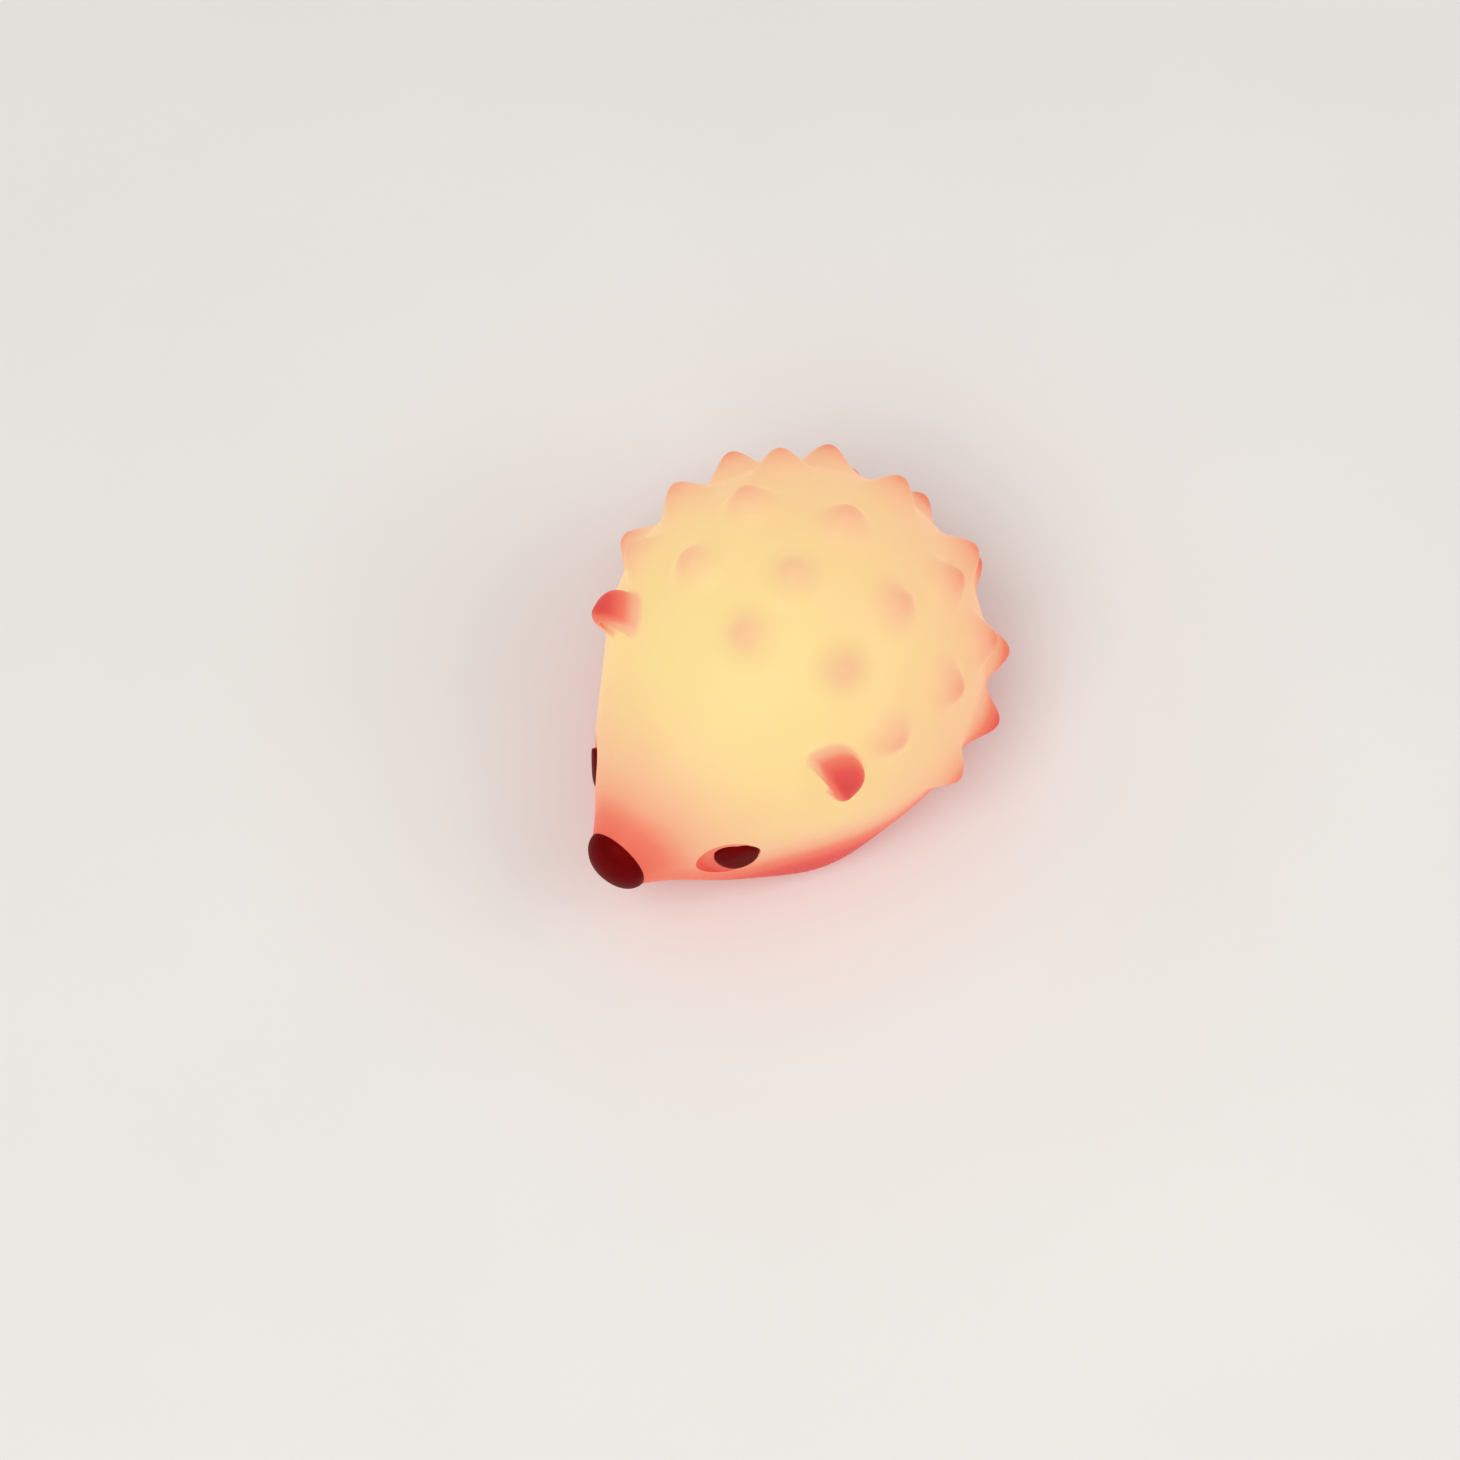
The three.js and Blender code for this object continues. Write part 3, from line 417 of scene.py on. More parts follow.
def places(made):
    """The mesh's points, as rows of an array."""
    flat = np.empty(3 * len(made.data.vertices), np.float32)
    made.data.vertices.foreach_get("co", flat)
    return flat.reshape(-1, 3).astype(float)


def move_to(made, points):
    """Moves the mesh's points to these places."""
    made.data.vertices.foreach_set("co", points.astype(np.float32).ravel())
    made.data.update()


def in_frame(points, basis):
    """The points as seen from a frame, whose basis is a 4 x 4 matrix."""
    inverse = np.array(basis.inverted())
    return points @ inverse[:3, :3].T + inverse[:3, 3]


def soften(made, weights, rounds):
    """Draws each point towards the middle of its neighbours, by its weight."""
    edges = np.empty(2 * len(made.data.edges), np.int32)
    made.data.edges.foreach_get("vertices", edges)
    a, b = edges.reshape(-1, 2).T
    points = places(made)
    count = np.bincount(a, minlength=len(points)) + np.bincount(b, minlength=len(points))
    for _ in range(rounds):
        total = np.zeros_like(points)
        for axis in range(3):
            total[:, axis] = np.bincount(a, points[b, axis], len(points))
            total[:, axis] += np.bincount(b, points[a, axis], len(points))
        points += weights[:, None] * (total / count[:, None] - points)
    move_to(made, points)


def dressed(made, finish, body, replaced=()):
    """Gives a piece its finish, its body, and the nodes that it stands for."""
    made.data.materials.clear()
    made.data.materials.append(finish)
    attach(made, body)
    if replaced:
        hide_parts(*replaced)
    return made


def ramp(value, low, high):
    """A share that rises smoothly from 0 at the low value to 1 at the high one."""
    share = np.clip((value - low) / (high - low), 0, 1)
    return share * share * (3 - 2 * share)


# Body form


def ball_centre(s):
    """The middle of the round back, where the muzzle's axis starts."""
    return np.array([core.x, core.y + s.base_forward, s.ball_height])


def axis_of(s):
    """The muzzle axis' length, its tilt and the sine of the cone's half angle."""
    reach = hypot(s.muzzle_reach, s.muzzle_rise)
    return reach, atan2(s.muzzle_rise, s.muzzle_reach), (s.ball_radius - s.muzzle_radius) / reach


def body_points(s, along, radius, turn):
    """Points at distances along the axis and radii about it, turned round it."""
    _, tilt, _ = axis_of(s)
    low = np.sin(turn) < 0
    chin = low * np.exp(-(((along - CHIN_MIDDLE) / CHIN_SPREAD) ** 2))
    belly = low * np.exp(-(((along - BELLY_MIDDLE) / BELLY_SPREAD) ** 2))
    power = ROUND_POWER + (CHIN_POWER - ROUND_POWER) * chin
    reach = (np.abs(np.cos(turn)) ** power + np.abs(np.sin(turn)) ** power) ** (-1 / power)
    up = radius * reach * np.sin(turn)
    swell = 1 + BELLY_SWELL * belly * np.abs(reach * np.sin(turn)) ** power
    narrow = 1 - TIP_NARROWS * ramp(along, TIP_START, s.nose_seam)
    x = radius * reach * np.cos(turn) * swell * narrow
    y = -along * cos(tilt) + up * sin(tilt)
    z = along * sin(tilt) + up * cos(tilt)
    return np.stack(np.broadcast_arrays(x, y, z), -1) + ball_centre(s)


def cone_radius(s, along, inset=0.0):
    """Radius of the cheeks and the muzzle at a distance along the axis."""
    reach, _, sine = axis_of(s)
    ball = s.ball_radius - inset
    start = ball * sine
    end = reach + (s.muzzle_radius - inset) * sine
    swell = s.cheek_swell * np.sin(pi * (along - start) / (end - start)) ** 2
    return (ball - along * sine) / sqrt(1 - sine**2) + swell


def body_form(s, name, inset=0.0, sides=360, ball_rings=130, cone_rings=56):
    """The body up to the nose's seam, drawn in by the inset, with its quills when it isn't."""
    _, _, sine = axis_of(s)
    ball = s.ball_radius - inset
    turn = np.linspace(pi, acos(sine), ball_rings)[1:]
    seam = s.nose_seam
    cone = np.linspace(ball * sine, seam - SEAM_EDGE, cone_rings)[1:]
    mouth = float(cone_radius(s, seam - SEAM_EDGE, inset))
    bend = np.linspace(0, pi / 2, 6)[1:]
    along = [ball * np.cos(turn), cone, seam - SEAM_EDGE + SEAM_EDGE * np.sin(bend)]
    edge = mouth - SEAM_EDGE * (1 - np.cos(bend))
    radius = [ball * np.sin(turn), cone_radius(s, cone, inset), edge]
    inwards = np.linspace(mouth - SEAM_EDGE, 0, 5)[1:-1]
    along = np.concatenate(along + [np.full(len(inwards), seam)])[:, None]
    radius = np.concatenate(radius + [inwards])[:, None]
    around = (2 * pi * np.arange(sides) / sides)[None, :]
    rings = body_points(s, along, radius, around)
    poles = [body_points(s, at, 0.0, np.float64(0)) for at in (-ball, seam)]
    if inset == 0:
        rings = on_the_table(raised_quills(s, rings))
        poles = [raised_quills(s, pole) for pole in poles]
    return loft(name, rings, *poles)


def quill_bumps(s, points):
    """Each quill's axis, with how strongly it lifts each of the points, from 0 to 1."""
    from_centre = points - ball_centre(s)
    for sideways, rises in QUILL_ROWS.items():
        for rise in rises:
            for side in (1, -1) if sideways else (1,):
                out, up = radians(side * sideways), radians(rise)
                axis = np.array([sin(out), -cos(out) * cos(up), cos(out) * sin(up)])
                reach = from_centre @ axis
                off = np.linalg.norm(from_centre - reach[..., None] * axis, axis=-1)
                near = np.clip(off / s.quill_foot, 0, 1)
                yield axis, ((1 + np.cos(pi * near)) / 2) ** QUILL_SHARPNESS * (reach > 0)


def raised_quills(s, points):
    """Pushes points out along the axis of each quill whose foot they are in."""
    moved = points.copy()
    for axis, bump in quill_bumps(s, points):
        moved += (s.quill_height * bump)[..., None] * axis
    return moved


def on_the_table(points):
    """Flattens what would be below the rim's underside, with a rounded edge."""
    above = points[..., 2] - plate_bottom
    points[..., 2] = plate_bottom + (above + np.sqrt(above**2 + RIM_EDGE**2)) / 2
    return points


def hollow_form(s, floor):
    """The hollow: it keeps the wall along the ball and the cone, and ends in a round front."""
    _, _, sine = axis_of(s)
    ball = s.ball_radius - s.skin_wall
    tip = ball - HOLLOW_REACH * sine
    contact = acos(sine)
    back = np.linspace(pi, contact, 60)[1:]
    front = np.linspace(contact, 0, 24)[1:-1]
    cone = np.linspace(ball * sine, HOLLOW_REACH + tip * sine, 14)[1:]
    side = (ball - cone * sine) / sqrt(1 - sine**2)
    radius = np.concatenate([ball * np.sin(back), side, tip * np.sin(front)])
    along = np.concatenate([ball * np.cos(back), cone, HOLLOW_REACH + tip * np.cos(front)])
    around = (2 * pi * np.arange(144) / 144)[None, :]
    rings = body_points(s, along[:, None], radius[:, None], around)
    rings[..., 2] = np.maximum(rings[..., 2], floor)
    poles = [body_points(s, at, 0.0, np.float64(0)) for at in (-ball, HOLLOW_REACH + tip)]
    return loft("hollow", rings, *poles)


# Ears


def ear_frame(s, side):
    """X across an ear's mouth, Y backwards through it, Z out of the head."""
    outward = Vector(EAR_LEAN).normalized()
    sideways = Vector((0, 1, 0)).cross(outward).normalized()
    backward = outward.cross(sideways)
    basis = Matrix((sideways, backward, outward)).transposed().to_4x4()
    centre = Vector(ball_centre(s))
    basis.translation = (s.ear_sideways, -s.ear_forward, s.ear_up)
    mirror = Matrix.Diagonal((side, 1, 1, 1))
    return Matrix.Translation(centre) @ mirror @ basis


def ear_hood(s, side):
    """Half an egg with a rounded front rim and a dish behind it, pole to pole."""
    around = 2 * pi * np.arange(120) / 120
    levels = []
    for turn in np.linspace(0, pi / 2, 44)[1:]:
        share = sin(turn) ** (2 / EAR_POWER)
        back = EAR_ROUND + (s.ear_depth - EAR_ROUND) * cos(turn) ** (2 / EAR_POWER)
        levels.append((s.ear_half_width * share, s.ear_length * share, back))
    steps = [pi / 2 * i / 6 for i in range(1, 7)]
    rim = [(EAR_ROUND * (1 - cos(t)), EAR_ROUND * (1 - sin(t))) for t in steps]
    inner = s.ear_rim - EAR_EDGE
    rim += [(inner + EAR_EDGE * sin(t), EAR_EDGE * (1 - cos(t))) for t in [0, *steps]]
    for inset, back in rim:
        levels.append((s.ear_half_width - inset, s.ear_length - inset, back))
    for turn in np.linspace(asin(EAR_EDGE / s.ear_dish), pi / 2, 22)[1:-1]:
        width = (s.ear_half_width - s.ear_rim) * cos(turn)
        height = (s.ear_length - s.ear_rim) * cos(turn)
        levels.append((width, height, s.ear_dish * sin(turn)))
    rings = [
        np.stack([a * np.cos(around), np.full(len(around), back), c * np.sin(around)], -1)
        for a, c, back in levels
    ]
    hood = loft("ear", rings, (0, s.ear_depth, 0), (0, s.ear_dish, 0))
    hood.data.transform(ear_frame(s, side))
    if side < 0:
        hood.data.flip_normals()
    return hood


def tree_of(made):
    """The mesh's surface, kept so that the nearest spot on it is quick to find."""
    return BVHTree.FromPolygons(
        [v.co for v in made.data.vertices], [list(p.vertices) for p in made.data.polygons]
    )


def distances(tree, points):
    """Signed distance of each point from a closed mesh, outside positive, and its direction."""
    far = np.empty(len(points))
    ways = np.empty((len(points), 3))
    for i, point in enumerate(points):
        spot, normal, _, gap = tree.find_nearest(Vector(point))
        away = Vector(point) - spot
        sign = 1 if away.dot(normal) >= 0 else -1
        far[i] = sign * gap
        ways[i] = normal if gap < ON_SURFACE else sign * away / gap
    return far, ways


def from_ear(s, side, points):
    """The points as seen from an ear's frame, and how far they are from it in ear sizes."""
    local = in_frame(points, ear_frame(s, side))
    return local, np.linalg.norm(local / (s.ear_half_width, s.ear_depth, s.ear_length), axis=1)


def fillet_ear(s, skin, side, body_tree, ear_tree):
    """Fills the corner between an ear's back and the head, so that the one flows into the other."""
    points = places(skin)
    local, reach = from_ear(s, side, points)
    chosen = np.flatnonzero(reach < FILLET_REACH)
    spots = points[chosen]
    share = ramp(local[chosen, 1], *FILLET_WIDENS)
    size = EAR_FRONT_FILLET + (EAR_BACK_FILLET - EAR_FRONT_FILLET) * share
    for _ in range(FILLET_ROUNDS):
        to_body, body_way = distances(body_tree, spots)
        to_ear, ear_way = distances(ear_tree, spots)
        overlap = np.clip(size - np.abs(to_body - to_ear), 0, None) / size
        surface = np.minimum(to_body, to_ear) - overlap**2 * size / 4
        weight = np.clip(0.5 + 0.5 * (to_body - to_ear) / size, 0, 1)[:, None]
        slope = (1 - weight) * body_way + weight * ear_way
        steep = np.maximum(np.einsum("ij,ij->i", slope, slope), LEAST_SLOPE)
        step = (surface / steep)[:, None] * slope
        spots = spots - np.where((overlap > 0)[:, None], step, 0)
    points[chosen] = spots
    move_to(skin, points)
    softer = np.zeros(len(points))
    softer[chosen] = np.clip(2 * overlap * share, 0, 1) / 2
    soften(skin, softer, FILLET_ROUNDS)


# Eyes, nose and their pegs


def eye_frame(s, side):
    """Z straight out of an eye's recess, X forwards along the skin."""
    _, tilt, sine = axis_of(s)
    cosine = sqrt(1 - sine**2)
    muzzle = Vector((0, -cos(tilt), sin(tilt)))
    upright = Vector((0, sin(tilt), cos(tilt)))
    contact = float(cone_radius(s, s.eye_along))
    radial = Vector((side, 0, 0))
    out = radial * cosine + muzzle * sine
    ahead = muzzle * cosine - radial * sine
    across = out.cross(ahead)
    looks = out * cos(radians(EYE_TURN)) + ahead * sin(radians(EYE_TURN))
    basis = Matrix((across.cross(looks), across, looks)).transposed().to_4x4()
    middle_plane = Vector(ball_centre(s)) + muzzle * s.eye_along - upright * s.eye_drop
    basis.translation = middle_plane + radial * contact
    return basis @ Matrix.Rotation(side * radians(EYE_LIFT), 4, "X")


def pupil_frame(s, side):
    """The frame of an eye's lens: both lenses are off the middle of their recess, to one side."""
    return eye_frame(s, side) @ Matrix.Translation((-side * PUPIL_GLANCE, 0, -side * PUPIL_SINK))


def pupil_bottom(s):
    """Height of the lens' underside in its own frame."""
    return PUPIL_STAND - s.pupil_dome - PUPIL_THICKNESS


def nose_frame(s):
    """Z out of the muzzle's cut end."""
    _, tilt, _ = axis_of(s)
    seat = Vector(body_points(s, s.nose_seam, 0.0, np.float64(0)))
    return Matrix.Translation(seat) @ Matrix.Rotation(pi / 2 - tilt, 4, "X")


def placed(made, basis):
    """The object with its mesh moved into a frame."""
    made.data.transform(basis)
    return made


def drum(radius, low, high, sides=144):
    """A plain cylinder."""
    return lathe("drum", [(0, low), (radius, low), (radius, high), (0, high)], sides)


def peg(start, shoulder):
    """A barbed peg down from this height, whose barb catches behind the skin's shoulder."""
    back = shoulder - CLEARANCE
    return lathe("peg", [
        (0, back - BARB_LENGTH), (PEG_RADIUS, back - BARB_LENGTH), (BARB_RADIUS, back),
        (PEG_RADIUS, back), (PEG_RADIUS, start), (0, start),
    ], 48)


def peg_hole(shoulder):
    """The hole for a peg, wider below the shoulder. It runs on past the skin at both ends."""
    wide, narrow = BARB_RADIUS + CLEARANCE, PEG_RADIUS + CLEARANCE
    low, high = shoulder - BARB_LENGTH - 4 * MM, 2 * MM
    return lathe("hole", [
        (0, low), (wide, low), (wide, shoulder), (narrow, shoulder), (narrow, high), (0, high),
    ], 48)


def eye_recess(s, side):
    """The recess round an eye, the deeper pocket for its lens and the hole for its peg."""
    turned, lens = eye_frame(s, side), pupil_frame(s, side)
    recess = placed(drum(s.patch_radius, -s.patch_depth, s.patch_radius), turned)
    # Where the skin is lower than the recess's turned floor, the recess is a shallow step
    step = placed(drum(s.patch_radius, -s.patch_radius, s.patch_radius), turned)
    combine(step, "DIFFERENCE", body_form(s, "body", PATCH_STEP))
    pocket = drum(s.pupil_radius + CLEARANCE, pupil_bottom(s) - CLEARANCE, s.patch_radius)
    return combine(recess, "UNION", step, placed(pocket, lens), placed(peg_hole(-EYE_PAD), lens))


def padded_hollow(s, floor):
    """The hollow without the pads that it leaves behind the eyes."""
    pads = [
        placed(drum(s.patch_radius + EYE_PAD_MARGIN, -EYE_PAD, s.patch_radius), eye_frame(s, side))
        for side in (1, -1)
    ]
    return combine(hollow_form(s, floor), "DIFFERENCE", *pads)


def moulded_skin(s):
    """The whole skin: body, quills and ears, less its hollow, mouth, recesses and peg holes."""
    lip_bottom = plate_top + CLEARANCE
    lip_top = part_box("silicone_skin")[0].z + LIP_TOP
    skin = body_form(s, "hedgehog_skin", sides=s.body_sides)
    body_tree = tree_of(skin)
    ears = [ear_hood(s, side) for side in (1, -1)]
    ear_trees = [tree_of(hood) for hood in ears]
    combine(skin, "UNION", *ears)
    for side, tree in zip((1, -1), ear_trees):
        fillet_ear(s, skin, side, body_tree, tree)
    recess, neck = plate_radius + CLEARANCE, radius_of("diffuser_cap") + CLEARANCE
    mouth = lathe("mouth", [
        (0, -MM), (recess + MOUTH_CHAMFER, -MM), (recess + MOUTH_CHAMFER, plate_bottom),
        (recess, plate_bottom + MOUTH_CHAMFER), (recess, lip_bottom), (neck, lip_bottom),
        (neck, lip_top + MM), (0, lip_top + MM),
    ], 144, (core.x, core.y, 0))
    nose_hole = placed(peg_hole(-NOSE_WALL), nose_frame(s))
    recesses = [eye_recess(s, side) for side in (1, -1)]
    combine(skin, "DIFFERENCE", padded_hollow(s, lip_top), mouth, nose_hole, *recesses)
    write_light_path(s, skin, body_tree)
    return smooth(skin)


def ear_path(s, side, points, normals, body_tree):
    """Which points are at an ear, and how much further light goes to reach them for it."""
    local, reach = from_ear(s, side, points)
    near = reach < EAR_GLOW_REACH
    rise, _ = distances(body_tree, points[near])
    backward = np.array(ear_frame(s, side))[:3, 1]
    forwards = ramp(-normals[near] @ backward, *EAR_LOOKS_FORWARDS)
    lip = 1 - ramp(local[near, 1], *EAR_LIP_REACH)
    share = 1 - forwards * (EAR_DISH_SHARE + EAR_LIP_SHARE * lip)
    root = EAR_ROOT_PATH * ramp(rise, 0, MM)
    return near, share * (root + EAR_PATH_PER_RISE * np.clip(rise, 0, None))


def light_path(s, skin, body_tree):
    """How far light goes to reach each of the skin's points."""
    points = places(skin)
    normals = np.empty(3 * len(points), np.float32)
    skin.data.vertex_normals.foreach_get("vector", normals)
    normals = normals.reshape(-1, 3)
    x, y, z = (points - ball_centre(s)).T
    length_part = LIGHT_LENGTH_SHARE * (y + LIGHT_BACK)
    path = np.sqrt(x**2 + length_part**2 + (LIGHT_HEIGHT_SHARE * (z - LIGHT_UP)) ** 2)
    _, tilt, _ = axis_of(s)
    along = z * sin(tilt) - y * cos(tilt)
    beside_housing = 1 / (1 + np.exp((along - HOUSING_END) / HOUSING_BLEND))
    drop = LOW_BLEND * np.logaddexp(0, (LOW_START - z) / LOW_BLEND)
    path += LOW_PATH_PER_DROP * drop * beside_housing
    snout = ramp(along, TIP_START, s.nose_seam) * ramp(z, -s.muzzle_radius, s.muzzle_radius)
    path += SNOUT_PATH * snout
    for axis, bump in quill_bumps(s, points):
        level = hypot(axis[0], axis[1])
        path += QUILL_PATH * (QUILL_LEAST_SHARE + (1 - QUILL_LEAST_SHARE) * level) * bump**2
    for side in (1, -1):
        near, longer = ear_path(s, side, points, normals, body_tree)
        path[near] += longer
    return path


def recess_faces(s, skin):
    """Which of the skin's faces are in an eye's recess."""
    faces = skin.data.polygons
    centres = np.empty(3 * len(faces), np.float32)
    faces.foreach_get("center", centres)
    inside = np.zeros(len(faces), bool)
    for side in (1, -1):
        x, y, z = in_frame(centres.reshape(-1, 3), eye_frame(s, side)).T
        inside |= (np.hypot(x, y) < s.patch_radius) & (np.abs(z) < s.patch_radius / 2)
    return inside


def write_light_path(s, skin, body_tree):
    """Keeps the light's path as an attribute that the skin's finish reads. It is kept for each
    face's corners, because the recesses differ from the skin round them up to a sharp edge."""
    corners = np.empty(len(skin.data.loops), np.int32)
    skin.data.loops.foreach_get("vertex_index", corners)
    sides = np.empty(len(skin.data.polygons), np.int32)
    skin.data.polygons.foreach_get("loop_total", sides)
    path = light_path(s, skin, body_tree)[corners]
    path += PATCH_PATH * np.repeat(recess_faces(s, skin), sides)
    attribute = skin.data.attributes.new("light_path", "FLOAT", "CORNER")
    attribute.data.foreach_set("value", path.astype(np.float32))


def nose_dome(s):
    """A dome as wide as the muzzle's cut end, its foot rounded, with its peg."""
    base, foot = s.nose_seam + NOSE_GAP, NOSE_FOOT
    radius = float(cone_radius(s, s.nose_seam)) - NOSE_GAP
    turns = np.linspace(0, pi / 2, 5)
    profile = [(base + foot * (1 - cos(t)), radius - foot * (1 - sin(t))) for t in turns]
    height = s.nose_depth - foot
    turns = np.linspace(0, pi / 2, 30)[1:-1]
    profile += [(base + foot + height * sin(t), radius * cos(t)) for t in turns]
    around = 2 * pi * np.arange(144) / 144
    rings = [body_points(s, along, r, around) for along, r in profile]
    rings.insert(0, body_points(s, base, radius / 2, around))
    poles = [body_points(s, at, 0.0, np.float64(0)) for at in (base, base + s.nose_depth)]
    dome = loft("nose_dome", rings, *poles)
    return smooth(combine(dome, "UNION", placed(peg(s.nose_depth / 2, -NOSE_WALL), nose_frame(s))))


def eye_lens(s, side, name, body_tree):
    """A lens domed like half an egg, on its peg, and drawn in where it is proud of the skin."""
    rim = PUPIL_STAND - s.pupil_dome
    turns = np.linspace(0, pi / 2, 28)
    profile = [(0, pupil_bottom(s)), (s.pupil_radius, pupil_bottom(s))]
    profile += [(s.pupil_radius * cos(t), rim + s.pupil_dome * sin(t)) for t in turns]
    lens = combine(lathe(name, profile), "UNION", peg(rim - PUPIL_THICKNESS / 2, -EYE_PAD))
    points = places(placed(lens, pupil_frame(s, side)))
    far, way = distances(body_tree, points)
    over = PUPIL_BLEND * np.logaddexp(0, (far - PUPIL_PROUD) / PUPIL_BLEND)
    move_to(lens, points - over[:, None] * way)
    return smooth(lens)


# Underside pieces


def at_node(node):
    """The place on the table under a node's middle."""
    spot = middle(node)
    return spot.x, spot.y, 0


def bore(radius, top, node):
    """A round hole up from below the plate, over the middle of a node."""
    return lathe("bore", [(0, -MM), (radius, -MM), (radius, top), (0, top)], 64, at_node(node))


def screw_holes(i, top):
    """The holes in the plate and its post for one board screw, one case screw and one foot."""
    board, case, foot = f"board_screw_{i}", f"case_screw_{i}", f"foot_{i}"
    pilot = radius_of(board) / 2 + CLEARANCE
    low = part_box(board)[0].z - CLEARANCE
    profile = [(0, low), (pilot, low), (pilot, top), (0, top)]
    yield lathe("pilot", profile, 32, at_node(board))
    head, sunk, shaft = radius_of(case) + CLEARANCE, plate_bottom + 1.3 * MM, 1.5 * MM
    profile = [(0, -MM), (head, -MM), (head, sunk), (shaft, sunk), (shaft, top), (0, top)]
    yield lathe("counterbore", profile, 48, at_node(case))
    yield bore(radius_of(foot) + CLEARANCE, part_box(foot)[1].z + CLEARANCE, foot)


def control_openings():
    """The plate's openings for the socket, the slide knob, the button and the light pipe."""
    top = plate_top + MM
    low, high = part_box("charging_socket")
    size = (high.x - low.x + 2 * CLEARANCE, high.y - low.y + 2 * CLEARANCE)
    yield pill("mouth", size, size[1] / 2, [(0, -MM), (0, top)], at_node("charging_socket"))
    low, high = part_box("power_switch_knob")
    knob = middle("power_switch_knob")
    slide = next(joint for joint in frame["joints"] if joint["name"] == "power_slide")
    travel = slide["range_m"][1]
    slid = (knob.x - travel / 2, knob.y, 0)
    size = (high.x - low.x + travel + 2 * CLEARANCE, high.y - low.y + 2 * CLEARANCE)
    yield pill("recess", size, size[1] / 2, [(0, -MM), (0, plate_bottom + KNOB_RECESS)], slid)
    size = (KNOB_STEM[0] + travel + 2 * CLEARANCE, KNOB_STEM[1] + 2 * CLEARANCE)
    yield pill("slot", size, 0.3 * MM, [(0, -MM), (0, top)], slid)
    yield bore(BUTTON_RADIUS + CLEARANCE, top, "timer_button")
    yield bore(PIPE_RADIUS + CLEARANCE, top, "charge_light_pipe")


def moulded_plate():
    """The base plate with its posts, screw holes, foot pockets and openings."""
    edge, post_radius, post_top = 0.5 * MM, 2.2 * MM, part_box("base_plate")[1].z
    plate = lathe("moulded_base_plate", [
        (0, plate_bottom), *rounded_corner(plate_radius, plate_bottom, edge),
        (plate_radius, plate_top), (0, plate_top),
    ], 144, (core.x, core.y, 0))
    holes = []
    for i in range(1, 5):
        foot = plate_bottom + edge
        profile = [(0, foot), (post_radius, foot), (post_radius, post_top), (0, post_top)]
        combine(plate, "UNION", lathe("post", profile, 48, at_node(f"board_screw_{i}")))
        holes += screw_holes(i, post_top + MM)
    combine(plate, "DIFFERENCE", *holes, *control_openings())
    return smooth(eased(plate, 0.12 * MM), 40)


def rubber_foot(name, node):
    """A foot with a rounded rim and two shallow rings that grip."""
    low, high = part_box(node)
    radius, edge, groove = radius_of(node), 0.6 * MM, 0.2 * MM
    profile = [(0, low.z)]
    for share in (0.35, 0.65):
        for off, depth in ((-0.3, 0), (-0.15, groove), (0.15, groove), (0.3, 0)):
            profile.append((radius * share + off * MM, low.z + depth))
    profile += [*rounded_corner(radius, low.z, edge), (radius, high.z), (0, high.z)]
    return smooth(lathe(name, profile, 72, at_node(node)), 40)


def cross_screw(name, node):
    """A pan-head screw with a cross recess and a threaded shaft."""
    low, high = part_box(node)
    head, head_height, crown_height = radius_of(node), MM, 0.55 * MM
    shaft, thread_root, tip, pitch = 1.2 * MM, 0.82, 0.4, 0.8 * MM
    under_head = low.z + head_height
    profile = [(0, low.z), *domed_face(head, low.z, crown_height, 8)]
    profile += [(head, under_head), (shaft, under_head)]
    for i in range(int((high.z - low.z - head_height - MM) / pitch)):
        z = under_head + pitch * (i + 0.5)
        profile += [(shaft * thread_root, z), (shaft, z + pitch / 2)]
    profile += [(shaft * tip, high.z), (0, high.z)]
    screw = lathe(name, profile, 48, at_node(node))
    arm, width, taper = 2.6 * MM, 0.55 * MM, 0.22 * MM
    levels = [(0, low.z - MM), (0, low.z + 0.2 * MM), (taper, low.z + 0.75 * MM)]
    for size in ((arm, width), (width, arm)):
        combine(screw, "DIFFERENCE", pill("blade", size, 0.1 * MM, levels, at_node(node), 3))
    return smooth(screw, 40)


def charging_socket(name):
    """A pressed shell with its lip, the tongue inside it and the tongue's contacts."""
    low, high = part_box("charging_socket")
    size = (high.x - low.x, high.y - low.y)
    place = at_node("charging_socket")
    wall, lip = 0.35 * MM, 0.12 * MM
    outer = [(lip, low.z), (0, low.z + lip), (0, high.z - lip), (lip, high.z)]
    shell = pill(name, size, size[1] / 2, outer, place)
    inner = [(wall - lip, low.z - MM), (wall - lip, low.z), (wall, low.z + lip), (wall, high.z - MM)]
    combine(shell, "DIFFERENCE", pill("mouth", size, size[1] / 2, inner, place))
    tongue_size, edge = (6.6 * MM, 0.7 * MM), 0.12 * MM
    levels = rounded(low.z + 0.8 * MM, high.z - 0.5 * MM, edge)
    tongue = pill("tongue", tongue_size, 0.2 * MM, levels, place, 4)
    smooth(shell, 40)
    smooth(tongue, 40)
    count, pitch, contact_size = 6, 0.85, (0.4 * MM, 0.12 * MM)
    levels = [(0, low.z + 1.3 * MM), (0, high.z - 1.5 * MM)]
    contacts = []
    for face in (1, -1):
        for i in range(count):
            x = place[0] + (i - (count - 1) / 2) * pitch * MM
            y = place[1] + face * tongue_size[1] / 2
            contacts.append(pill("contact", contact_size, 0.05 * MM, levels, (x, y, 0), 2))
    return shell, tongue, contacts


def join(first, *others):
    """Joins pieces into the first one, each with its own finish."""
    with bpy.context.temp_override(active_object=first, selected_editable_objects=[first, *others]):
        bpy.ops.object.join()
    return first


